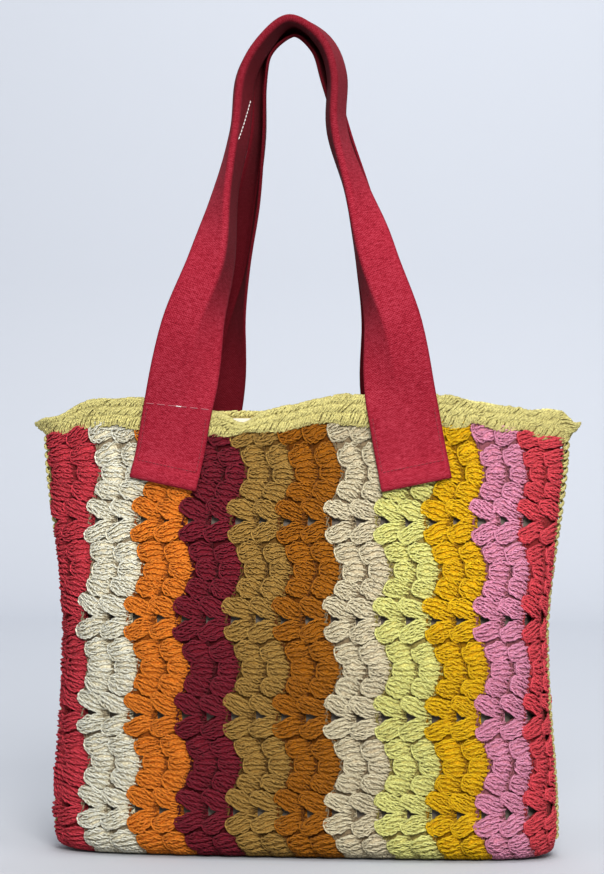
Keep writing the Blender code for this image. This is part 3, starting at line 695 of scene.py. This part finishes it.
def mouth_point(turn, out, height):
    """Points of the edging at turns round the mouth, distances out and shares of its height."""
    half_width, half_depth, squareness = wall_section(FABRIC_TOP)
    turn, out, height = np.broadcast_arrays(turn, out, height)
    endness = np.abs(np.cos(turn)) ** END_SHARPNESS
    across, deep = oval(turn, squareness)
    for end in (-1, 1):
        middle = PATCH_SHIFT + end * np.where(turn > np.pi, FRONT_PATCH_SPREAD, BACK_PATCH_SPREAD)
        pressed = np.exp(-(((half_width * across - middle) / PATCH_PRESS_REACH) ** 8))
        out = out * (1 - PATCH_PRESS * pressed)
    out = out * (1 - END_THINNING * endness) + EDGING_FLARE * endness * np.clip(height, 0, 1)
    out = out + EDGING_RIPPLE * (np.sin(5 * turn + 1.0) + np.sin(13 * turn))
    x = (half_width + out) * across
    y = (half_depth + out) * deep
    top = MOUTH_TOP + np.interp(x, EDGING_PLACES, EDGING_RISES) + RIM_RIPPLE * np.sin(17 * turn + 0.6)
    top = top - EDGING_DIP * np.exp(-(((x - EDGING_DIP_PLACE) / EDGING_DIP_WIDTH) ** 2)) * (y < 0)
    foot = EDGING_FOOT + np.interp(x, *zip(*BAND_TOPS)) - FOOT_DIP
    foot = foot - FOOT_SCALLOP * np.abs(np.sin(11 * turn + 0.4))
    z = foot + height * (top - foot)
    facing = np.stack([np.cos(turn) * half_depth, np.sin(turn) * half_width, 0 * turn], axis=-1)
    return np.stack([x, y, z], axis=-1), facing / np.linalg.norm(facing, axis=-1, keepdims=True)


chance = np.random.default_rng(90)
count = int(2 * FABRIC_WIDTH * 0.99 / EDGING_PITCH)
paths = Paths()
for levels, outs, lean in EDGING_COURSES:
    for ply in (-0.26, 0.26):
        spot = np.arange(count)[:, None] + ply + chance.uniform(-0.22, 0.22, (count, 1))
        spot = spot + lean * np.linspace(-0.5, 0.5, 5) * chance.uniform(0.8, 1.2, (count, 1))
        height = np.array(levels) + chance.uniform(-0.04, 0.04, (count, 1))
        out = np.array(outs) + chance.uniform(-0.0006, 0.0006, (count, 1))
        points, facing = mouth_point(mouth_turn(spot / count), out, height)
        paths.add(points, facing, 1.0, EDGING_CRESTS, chance.uniform(0, 1, (count, 1)))
length = np.linspace(0.0, 1.0, 2 * count + 1)[None, :]
points, facing = mouth_point(mouth_turn(length), 0.0050 + 0.0004 * np.sin(2.1 * count * length), 0.02)
paths.add(points, facing, 1.25, 0.5, 0.5)
turn = mouth_turn(np.arange(EDGING_CORE_STEPS) / EDGING_CORE_STEPS)[:, None]
core, _ = mouth_point(turn, *np.array(EDGING_CORE).T)
sides = len(EDGING_CORE)
faces = []
for step in range(EDGING_CORE_STEPS):
    here, there = step * sides, (step + 1) % EDGING_CORE_STEPS * sides
    faces += [[here + k, there + k, there + (k + 1) % sides, here + (k + 1) % sides] for k in range(sides)]
# Painted shade: the core inside the edging stitches is painted dark.
paths.sheet(core, faces, 0.15)
mesh = paths.mesh("mouth_edging")
edging = lay_yarn("mouth_edging_stitches", mesh, edging_yarn, EDGING_YARN_RADIUS, sides=4, seed=9.0)
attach(edging, "root")
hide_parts("mouth_edging")

# The lining.
# One length of plain cotton, folded under the base, sewn up the sides and hemmed round the mouth. It is cut
# 395 mm wide and 720 mm long, and hangs from the edging just inside the crochet.
LINING_CLEARANCE = 0.0020
LINING_THICKNESS = 0.0008
LINING_END_CLEARANCE = 0.003
LINING_BELOW_EDGING_TOP = 0.007
LINING_HEM = 0.011
LINING_HEM_STEP = 0.0003
LINING_HEM_PLIES = 1.7
LINING_SLACK = 0.0010
LINING_COLUMNS = 96
# The lining is painted dark, as shade inside the bag, and lightens near the mouth to its own off-white.
LINING_PAINTED_SHADE_DARK = (0.060, 0.046, 0.036, 1.0)
LINING_PAINTED_SHADE_LIGHT = (0.170, 0.145, 0.118, 1.0)
LINING_RIM_COLOUR = (0.640, 0.610, 0.530, 1.0)


def lining_rings(heights, inset):
    """Rings of points round the lining at heights above the base, this far inside the crochet."""
    rings = []
    turn = (np.arange(LINING_COLUMNS) + 0.5) * 2 * np.pi / LINING_COLUMNS
    for height in heights:
        half_width, half_depth, squareness = wall_section(min(height, FABRIC_TOP))
        if height < FOLD_RADIUS:
            half_depth = BASE_FLAT + FOLD_RADIUS * math.sin(math.acos(1 - height / FOLD_RADIUS))
        slack = LINING_SLACK * (0.5 + 0.5 * np.sin(9 * turn + 14 * height))
        slack = slack * math.sin(math.pi * min(height / FABRIC_TOP, 1.0))
        across, deep = oval(turn, squareness)
        x = (half_width - inset - slack - LINING_END_CLEARANCE) * across
        y = (half_depth - inset - slack) * deep
        rise = corner_lift(np.abs(x) / half_width, height) + max(inset - height, 0.0)
        rings.append(np.stack([x, y, FABRIC_THICKNESS + height + rise], axis=-1))
    return rings


lining_top = FABRIC_TOP + EDGING_HEIGHT - LINING_BELOW_EDGING_TOP
heights = [FOLD_RADIUS * (1 - math.cos(turn)) for turn in np.linspace(0.0, math.pi / 2, 6)]
heights += list(np.linspace(FOLD_RADIUS, lining_top - LINING_HEM, 24)[1:])
hem = [lining_top - LINING_HEM + LINING_HEM_STEP, lining_top]
inner = lining_rings(heights, LINING_CLEARANCE + LINING_THICKNESS)
inner += lining_rings(hem, LINING_CLEARANCE + LINING_HEM_PLIES * LINING_THICKNESS)
rings = np.array(lining_rings(heights + hem, LINING_CLEARANCE) + inner[::-1])
pouch = bpy.data.meshes.new("lining_pouch")
pouch.from_pydata(rings.reshape(-1, 3).tolist(), [], ring_faces(len(rings), LINING_COLUMNS))
pouch.shade_smooth()
pouch.set_sharp_from_angle(angle=math.radians(50))
cotton, tree, shader = new_material("plain cotton lining")
place = position(tree)
weave = []
for axis in ("X", "Z"):
    inputs = {"Vector": place, "Scale": 380.0, "Distortion": 1.2, "Detail": 1.0, "Detail Scale": 2.0}
    weave.append(node(tree, "ShaderNodeTexWave", inputs, bands_direction=axis).outputs["Fac"])
crossed = maths(tree, "MULTIPLY", *weave)
slub = noise(tree, place, 60.0, 4.0)
height = node(tree, "ShaderNodeSeparateXYZ", {0: place}).outputs["Z"]
# Painted shade: the cloth's colour lightens from the painted shade to the lining's own off-white towards the
# mouth.
rim = ranged(tree, height, MOUTH_TOP - 0.030, MOUTH_TOP - 0.012)
painted_shade_cloth = mixed(tree, maths(tree, "MULTIPLY_ADD", crossed, 0.35, slub), LINING_PAINTED_SHADE_DARK, LINING_PAINTED_SHADE_LIGHT)
feed(tree, shader, {
    "Base Color": mixed(tree, rim, painted_shade_cloth, LINING_RIM_COLOUR),
    "Roughness": ranged(tree, slub, 0.0, 1.0, 0.82, 0.95),
    "Normal": bump(tree, 0.4, 0.0003, crossed),
    "Specular IOR Level": 0.2,
})
pouch.materials.append(cotton)
lining = place_in_scene("lining_pouch", pouch)
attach(lining, "root")
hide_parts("lining")

# The two handles.
# Each is one length of 50 mm cotton webbing. Its ends are turned under and sewn flat on the outside of the
# body, and above the mouth it folds lengthwise until its halves lie back to back at the grip.
WEBBING_WIDTH = 0.050
WEBBING_THICKNESS = 0.0022
WEBBING_HEM_RISE = 0.0018
WEBBING_HEM = 0.011
WEBBING_HEM_STEP = 0.0008
WEBBING_BEND = 0.0023
WEBBING_LIFT_OFF = 0.020
WEBBING_RIB_PITCH = 0.0021
WEBBING_WEFT_PITCH = 0.0017
# Places along the webbing's shading and its colours there, the darker colour mixed in at its edges, and the
# colour of the painted shade on its folds, grip and reverse side
WEBBING_SHADES = (
    (0.25, (0.085, 0.002, 0.006)),
    (0.62, (0.212, 0.0084, 0.0185)),
    (1.0, (0.318, 0.030, 0.050)),
)
WEBBING_EDGE_COLOUR = (0.090, 0.002, 0.007, 1.0)
WEBBING_PAINTED_SHADE_COLOUR = (0.055, 0.002, 0.004, 1.0)
# Places across the webbing as shares of its half width, and along its ends
WEBBING_COLUMNS = (1.0, 0.992, 0.97, 0.85, 0.70, 0.55, 0.40, 0.27, 0.17, 0.105, 0.075, 0.045, 0.015)
WEBBING_END_ROWS = (0.0, 0.0006, 0.0016, 0.0036, 0.0075, WEBBING_HEM - WEBBING_HEM_STEP, WEBBING_HEM)
# Distances from a strap's end, and how far the turned-under end lifts the webbing there
HEM_RISES = (
    (0.0, 0.0016, 0.0075, WEBBING_HEM - WEBBING_HEM_STEP, WEBBING_HEM),
    (0.15 * WEBBING_HEM_RISE, WEBBING_HEM_RISE, WEBBING_HEM_RISE, 0.75 * WEBBING_HEM_RISE, 0.0),
)
CLUSTER_RISE = 0.0032
PATCH_LENGTH = 0.054
PATCH_GAP = 0.0009
PATCH_LEAN = 0.011
RIM_STATION_RISE = 0.004
GRIP_HEIGHT = 0.597
GRIP_SHIFT = -0.0075
GRIP_DEPTH = 0.025
GRIP_FOLD = 88
BACK_GRIP_FOLD = 80
BACK_HANDLE_DROP = 0.0035
LEG_STEPS = (4, 4, 6, 9, 9, 9, 9, 9, 9)
# Shares of the rise above the mouth at which the legs are set, and their depth there
LEG_RISES = (
    (0.20, 0.0420), (0.38, 0.0380), (0.56, 0.0330), (0.72, 0.0285), (0.86, 0.0260), (0.95, GRIP_DEPTH),
)
# Sideways shift, half the distance between the legs, degrees by which the outer and inner half fold back
FRONT_LEGS = (
    (-0.0045, 0.0685, 5, 45),
    (-0.0044, 0.0504, 15, 78),
    (-0.0080, 0.0431, 60, 84),
    (-0.0106, 0.0355, 78, 76),
    (-0.0087, 0.0330, 78, 77),
    (-0.0065, 0.0210, 82, 80),
)
BACK_LEGS = (
    (-0.0035, 0.0605, 20, 45),
    (-0.0025, 0.0456, 45, 78),
    (-0.0017, 0.0383, 66, 78),
    (-0.0032, 0.0307, 80, 84),
    (-0.0077, 0.0253, 82, 82),
    (-0.0088, 0.0191, 80, 80),
)


def front_depth(x, height):
    """How far the clusters' crests stand in front of the bag's middle plane."""
    half_width, half_depth, squareness = wall_section(min(height, FABRIC_TOP))
    share = min(abs(x) / half_width, 0.98)
    return half_depth * (1 - share**squareness) ** (1 / squareness) + FABRIC_THICKNESS + CLUSTER_RISE


def smooth_through(stations, steps):
    """A smooth path through stations, with this many steps after each."""
    rows = np.array(stations, float)
    rows = np.vstack([2 * rows[0] - rows[1], rows, 2 * rows[-1] - rows[-2]])
    found = []
    for k, count in enumerate(steps, 1):
        before, here, there, after = rows[k - 1 : k + 3]
        for t in (step / count for step in range(count)):
            bend = (2 * before - 5 * here + 4 * there - after) * t**2
            twist = (3 * here - before - 3 * there + after) * t**3
            found.append(0.5 * (2 * here + (there - before) * t + bend + twist))
    return np.array(found + [rows[-2]])


def leg_stations(side, leg, drop, patch_spread, legs):
    """Half a handle from patch to grip: x, y, height and the degrees by which its halves fold back."""
    patch_foot = MOUTH_TOP - PATCH_LENGTH
    rim_x = PATCH_SHIFT + leg * patch_spread
    rim_y = front_depth(rim_x, FABRIC_TOP)
    stations = [
        (rim_x + leg * PATCH_LEAN, rim_y, patch_foot, 0, 0),
        (rim_x + leg * PATCH_LEAN / 2, rim_y, (patch_foot + MOUTH_TOP) / 2, 0, 0),
        (rim_x, rim_y + WEBBING_THICKNESS, MOUTH_TOP + RIM_STATION_RISE, 0, 0),
    ]
    for (rise, depth), (shift, spread, outer, inner) in zip(LEG_RISES, legs):
        height = MOUTH_TOP + rise * (GRIP_HEIGHT - drop - MOUTH_TOP)
        stations.append((shift + leg * spread, depth, height, outer, inner))
    return [(x, side * y, height, outer, inner) for x, y, height, outer, inner in stations]


class Strap:
    """The surface of one handle's webbing, by the length along it and the distance across it."""

    def __init__(self, side, drop, patch_spread, legs, grip_fold):
        left = leg_stations(side, -1, drop, patch_spread, legs)
        right = leg_stations(side, 1, drop, patch_spread, legs)
        crown = [(GRIP_SHIFT, side * GRIP_DEPTH, GRIP_HEIGHT - drop, grip_fold, grip_fold)]
        path = smooth_through(left + crown + right[::-1], LEG_STEPS + LEG_STEPS[::-1])
        self.side = side
        self.places = path[:, :3]
        self.run = np.concatenate([[0.0], np.cumsum(np.linalg.norm(np.diff(self.places, axis=0), axis=1))])
        self.folds = np.radians(np.clip(path[:, 3:], 0.01, GRIP_FOLD))
        tangent = np.gradient(self.places, axis=0)
        tangent /= np.linalg.norm(tangent, axis=1, keepdims=True)
        facing = np.array([0.0, side, 0.0]) - tangent * (side * tangent[:, 1:2])
        self.facing = facing / np.linalg.norm(facing, axis=1, keepdims=True)
        self.across = np.cross(tangent, self.facing)

    def points(self, run, across, lift):
        """Points this far above the middle of the webbing's thickness, and the way out of it there."""
        run, across, lift = np.broadcast_arrays(run, across, lift)

        def at(rows):
            return np.stack([np.interp(run, self.run, row) for row in rows.T], axis=-1)

        folds = at(self.folds)
        fold = np.where(across * self.side < 0, folds[..., 1], folds[..., 0])
        width = np.abs(across)
        turned = fold * np.minimum(width / WEBBING_BEND, 1.0)
        arm = np.maximum(width - WEBBING_BEND, 0.0)
        over = WEBBING_BEND / fold * np.sin(turned) + arm * np.cos(fold) + lift * np.sin(turned)
        over = np.sign(across) * over
        out = lift * np.cos(turned) - WEBBING_BEND / fold * (1 - np.cos(turned)) - arm * np.sin(fold)
        point = at(self.places) + over[..., None] * at(self.across) + out[..., None] * at(self.facing)
        hold = np.clip((MOUTH_TOP + WEBBING_LIFT_OFF - point[..., 2]) / WEBBING_LIFT_OFF, 0, 1)
        seat = np.vectorize(front_depth)(point[..., 0], point[..., 2])
        seat = seat + PATCH_GAP + WEBBING_THICKNESS / 2 + out
        point[..., 1] += hold * (self.side * seat - point[..., 1])
        aslant = (np.sign(across) * np.sin(turned))[..., None] * at(self.across)
        return point, aslant + np.cos(turned)[..., None] * at(self.facing)


def webbing_material():
    """Plain woven cotton webbing: rounded ribs along it, a finer weft across it, paler worn threads, darker
    edges and painted shade on its folds, grip and reverse side.
    """
    made, tree, shader = new_material("crimson cotton webbing")
    run = attribute(tree, "run")
    across = attribute(tree, "across")
    place = position(tree)
    threads = noise(tree, place, 800.0, 2.0)
    cloud = noise(tree, place, 30.0, 3.0)
    laid = node(tree, "ShaderNodeCombineXYZ", {0: across, 1: run}).outputs[0]
    streak = noise(tree, vectors(tree, "MULTIPLY", {0: laid, 1: (170.0, 1100.0, 1.0)}), 1.0, 2.0)
    jitter = maths(tree, "MULTIPLY", threads, 1.6)
    warp = maths(tree, "SINE", maths(tree, "MULTIPLY_ADD", across, 2 * math.pi / WEBBING_RIB_PITCH, jitter))
    weft = maths(tree, "SINE", maths(tree, "MULTIPLY_ADD", run, 2 * math.pi / WEBBING_WEFT_PITCH, jitter))
    height = maths(tree, "MULTIPLY_ADD", maths(tree, "MULTIPLY", warp, weft), 0.5, 0.5)
    light = maths(tree, "MULTIPLY_ADD", height, 0.36, -0.515)
    for source, weight in ((threads, 0.95), (streak, 0.85), (cloud, 0.25)):
        light = maths(tree, "MULTIPLY_ADD", source, weight, light)
    edge = ranged(tree, maths(tree, "ABSOLUTE", across), 0.0228, 0.0246, 0.0, 0.45)
    toned = mixed(tree, edge, ramped(tree, light, WEBBING_SHADES), WEBBING_EDGE_COLOUR)
    # Painted shade is mixed in from each point's painted_shade value.
    feed(tree, shader, {
        "Base Color": mixed(tree, attribute(tree, "painted_shade"), toned, WEBBING_PAINTED_SHADE_COLOUR),
        "Roughness": ranged(tree, threads, 0.0, 1.0, 0.74, 0.92),
        "Normal": bump(tree, 0.6, 0.0004, height),
        "Specular IOR Level": 0.04,
        "Sheen Weight": 0.01,
    })
    return made


def between(low, high, values):
    """Shares of the way from low to high, kept within 0 and 1."""
    return np.clip((values - low) / (high - low), 0.0, 1.0)


webbing = webbing_material()
straps = {
    "front_handle": Strap(-1, 0.0, FRONT_PATCH_SPREAD, FRONT_LEGS, GRIP_FOLD),
    "back_handle": Strap(1, BACK_HANDLE_DROP, BACK_PATCH_SPREAD, BACK_LEGS, BACK_GRIP_FOLD),
}
shares = np.concatenate([-np.array(WEBBING_COLUMNS), WEBBING_COLUMNS[::-1]])
widths = shares * WEBBING_WIDTH / 2
rounded = np.interp(np.abs(shares), (0.97, 0.992, 1.0), (1.0, 0.75, 0.30)) * WEBBING_THICKNESS / 2
ends = np.array(WEBBING_END_ROWS)
for name, strap in straps.items():
    full = strap.run[-1]
    runs = strap.run[(strap.run > 0.014) & (strap.run < full - 0.014)]
    runs = np.concatenate([ends, runs, full - ends[::-1]])
    from_end = np.minimum(runs, full - runs)[:, None]
    thin = rounded * np.interp(from_end, (0.0, 0.0006, 0.0016), (0.25, 0.7, 1.0))
    top, _ = strap.points(runs[:, None], widths, thin + np.interp(from_end, *HEM_RISES))
    low, _ = strap.points(runs[:, None], widths[::-1], -thin[:, ::-1])
    rings = np.concatenate([top, low], axis=1)
    count, sides = rings.shape[:2]
    mesh = bpy.data.meshes.new(name + "_webbing")
    mesh.from_pydata(rings.reshape(-1, 3).tolist(), [], ring_faces(count, sides))
    set_values(mesh, "run", np.repeat(runs, sides))
    set_values(mesh, "across", np.tile(np.concatenate([widths, widths[::-1]]), count))
    # Painted shade: each leg's inner half darkens where it folds back, the webbing darkens towards the grip,
    # and its reverse side is painted darker, more so at the grip.
    shelter = between(0.9, 1.4, np.interp(runs, strap.run, strap.folds[:, 1]))[:, None]
    grip = between(0.47, 0.55, np.interp(runs, strap.run, strap.places[:, 2]))[:, None]
    inner_half = between(0.0, 0.004, -strap.side * widths)
    outside = np.maximum((0.74 + 0.14 * grip) * shelter * inner_half, 0.50 * grip)
    inside = np.broadcast_to(0.8 - 0.20 * grip, outside.shape)
    set_values(mesh, "painted_shade", np.concatenate([outside, inside], axis=1).ravel())
    mesh.shade_smooth()
    mesh.set_sharp_from_angle(angle=math.radians(60))
    mesh.materials.append(webbing)
    piece = place_in_scene(name + "_webbing", mesh)
    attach(piece, "root")
    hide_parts(name)

# The sewing thread.
# Lock stitches in thread of the webbing's own colour hold each strap end across its foot and up both edges.
# A faded row crosses the front left strap at the mouth, and loose white stitches run up its leg.
THREAD_WAVER = 0.0001
THREAD_PITCH = 0.0009
STITCH_ARC = 0.00035
SEAM_PITCH = 0.0027
SEAM_HALF_WIDTH = 0.022
SEAM_ACROSS_RUN = 0.0135
SEAM_RUNS = (0.0140, 0.0520)
LOOSE_STITCH_HEIGHTS = (0.511, 0.542)


def thread_material(name, colour):
    """Two-ply sewing thread, with painted shade between its plies."""
    made, tree, shader = new_material(name)
    turn = maths(tree, "MULTIPLY", attribute(tree, "run"), 2 * math.pi / THREAD_PITCH)
    turn = maths(tree, "MULTIPLY_ADD", attribute(tree, "around"), 4 * math.pi, turn)
    shade = ranged(tree, maths(tree, "SINE", turn), -1.0, 1.0)
    dark = [channel * 0.6 for channel in colour]
    feed(tree, shader, {
        "Base Color": mixed(tree, shade, (*dark, 1.0), (*colour, 1.0)),
        "Roughness": 0.6,
        "Normal": bump(tree, 0.5, 0.0001, shade),
    })
    return made


def sew(paths, strap, start, stop, pitch, above=0.0):
    """A row of stitches on a strap's outer face between two places, each a run and a distance across."""
    start, stop = np.array(start), np.array(stop)
    count = max(int(np.linalg.norm(stop - start) / pitch), 1)
    share = (np.arange(count)[:, None] + np.linspace(0.12, 0.80, 5)) / count
    arc = STITCH_ARC * np.sin(np.linspace(0.0, np.pi, 5))
    run = start[0] + (stop[0] - start[0]) * share
    across = start[1] + (stop[1] - start[1]) * share
    points, facing = strap.points(run, across, WEBBING_THICKNESS / 2 + above + arc)
    paths.add(points, facing, 1.0, 1.0, 0.5)


own_thread = thread_material("crimson sewing thread", (0.210, 0.007, 0.017))
white_thread = thread_material("white sewing thread", (0.780, 0.720, 0.700))
rim_thread = thread_material("faded pink sewing thread", (0.420, 0.110, 0.130))
for name, strap in straps.items():
    paths = Paths()
    for end in (0.0, strap.run[-1]):
        beside_end = abs(end - SEAM_ACROSS_RUN)
        foot, top = (abs(end - run) for run in SEAM_RUNS)
        sew(paths, strap, (beside_end, -SEAM_HALF_WIDTH), (beside_end, SEAM_HALF_WIDTH), SEAM_PITCH)
        for across in (-SEAM_HALF_WIDTH, SEAM_HALF_WIDTH):
            sew(paths, strap, (foot, across), (top, across), SEAM_PITCH)
    seams = paths.mesh(name + "_seams")
    thread = lay_yarn(name + "_seams", seams, own_thread, 0.00032, waver=THREAD_WAVER, seed=3.0)
    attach(thread, "root")
paths = Paths()
front = straps["front_handle"]
rising = front.places[: len(front.places) // 2, 2]
low_run, high_run = np.interp(LOOSE_STITCH_HEIGHTS, rising, front.run[: len(rising)])
sew(paths, front, (low_run, 0.0040), (high_run, 0.0190), 0.0030)
sew(paths, front, (0.0566, -0.0020), (0.0572, 0.0040), 0.0060, above=0.0001)
mesh = paths.mesh("white_stitches")
tacks = lay_yarn("white_stitches", mesh, white_thread, 0.00036, waver=THREAD_WAVER, seed=4.0)
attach(tacks, "root")
paths = Paths()
sew(paths, front, (0.0545, -0.0240), (0.0592, 0.0240), 0.0078)
mesh = paths.mesh("rim_stitches")
tacks = lay_yarn("rim_stitches", mesh, rim_thread, 0.00030, waver=THREAD_WAVER, seed=4.0)
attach(tacks, "root")

# The floor and backdrop, the light and the camera.
# A plain pale floor runs up into a plain pale backdrop, with broad soft lamps above and in front. The floor
# is painted darker where the lamps light it most, to even out their light.
FLOOR_FRONT = -3.5
WALL_DEPTH = 3.0
WALL_TOP = 4.2
SWEEP_RADIUS = 0.6
SWEEP_HALF_WIDTH = 4.5
# Places from the floor's front to the wall, and how pale the paper is painted there: darker where the lamps
# light the floor most, paler where their light falls off
PAPER_PAINTED_LIGHT = ((0.0, 0.66), (0.17, 0.62), (0.26, 0.34), (0.36, 0.28), (0.54, 0.40), (1.0, 0.60))
paper, tree, shader = new_material("pale paper")
depth = node(tree, "ShaderNodeSeparateXYZ", {0: position(tree)}).outputs["Y"]
shades = [(spot, (shade, 1.035 * shade, 1.115 * shade)) for spot, shade in PAPER_PAINTED_LIGHT]
# Painted light: the paper's paleness follows its depth, darker under the lamps.
painted_paleness = ramped(tree, ranged(tree, depth, FLOOR_FRONT, WALL_DEPTH), shades)
feed(tree, shader, {"Base Color": painted_paleness, "Roughness": 0.9})
bend = WALL_DEPTH - SWEEP_RADIUS
profile = [(FLOOR_FRONT, 0.0), (bend, 0.0)]
profile += [(bend + SWEEP_RADIUS * math.sin(turn), SWEEP_RADIUS * (1 - math.cos(turn)))
            for turn in np.linspace(0.1, 1.47, 12)]
profile += [(WALL_DEPTH, SWEEP_RADIUS), (WALL_DEPTH, WALL_TOP)]
sweep = bpy.data.meshes.new("backdrop")
sweep.from_pydata([(x, y, z) for y, z in profile for x in (-SWEEP_HALF_WIDTH, SWEEP_HALF_WIDTH)], [],
                  [(k, k + 1, k + 3, k + 2) for k in range(0, 2 * len(profile) - 2, 2)])
sweep.materials.append(paper)
sweep.shade_smooth()
backdrop = place_in_scene("backdrop", sweep)

world = bpy.data.worlds.new("room")
world.use_nodes = True
room = {"Color": (0.93, 0.96, 1.0, 1.0), "Strength": 0.60}
feed(world.node_tree, world.node_tree.nodes["Background"], room)
bpy.context.scene.world = world


def soft_lamp(name, place, aim, size, power, colour):
    lamp = bpy.data.lights.new(name, "AREA")
    lamp.shape = "DISK"
    lamp.size = size
    lamp.energy = power
    lamp.color = colour
    x, y, z = np.array(aim, float) - np.array(place, float)
    held = place_in_scene(name, lamp)
    held.location = place
    held.rotation_euler = (math.atan2(math.hypot(x, y), -z), 0.0, math.atan2(y, x) - math.pi / 2)


soft_lamp("window", (0.5, -2.05, 1.3), (0.0, 0.0, 0.28), 0.9, 69.0, (1.0, 0.98, 0.95))
soft_lamp("wall wash", (0.0, 1.0, 2.6), (0.0, 3.0, 0.6), 1.6, 36.0, (0.96, 0.98, 1.0))
soft_lamp("ceiling", (0.3, -0.5, 1.9), (0.0, 0.0, 0.2), 1.2, 18.0, (0.96, 0.98, 1.0))

CAMERA_AZIMUTH = math.radians(7.0)
CAMERA_DISTANCE = 1.9
CAMERA_AIM = (0.0028, -0.035, 0.2985)
SEEN_HEIGHT = 0.618
SENSOR_HEIGHT = 24.0
lens = bpy.data.cameras.new("camera")
lens.sensor_fit = "VERTICAL"
lens.sensor_height = SENSOR_HEIGHT
lens.lens = SENSOR_HEIGHT * CAMERA_DISTANCE / SEEN_HEIGHT
camera = place_in_scene("camera", lens)
back = CAMERA_DISTANCE * np.array([math.sin(CAMERA_AZIMUTH), -math.cos(CAMERA_AZIMUTH), 0.0])
camera.location = np.array(CAMERA_AIM) + back
camera.rotation_euler = (math.pi / 2, 0.0, CAMERA_AZIMUTH)
bpy.context.scene.camera = camera
bpy.context.scene.view_settings.view_transform = "Standard"
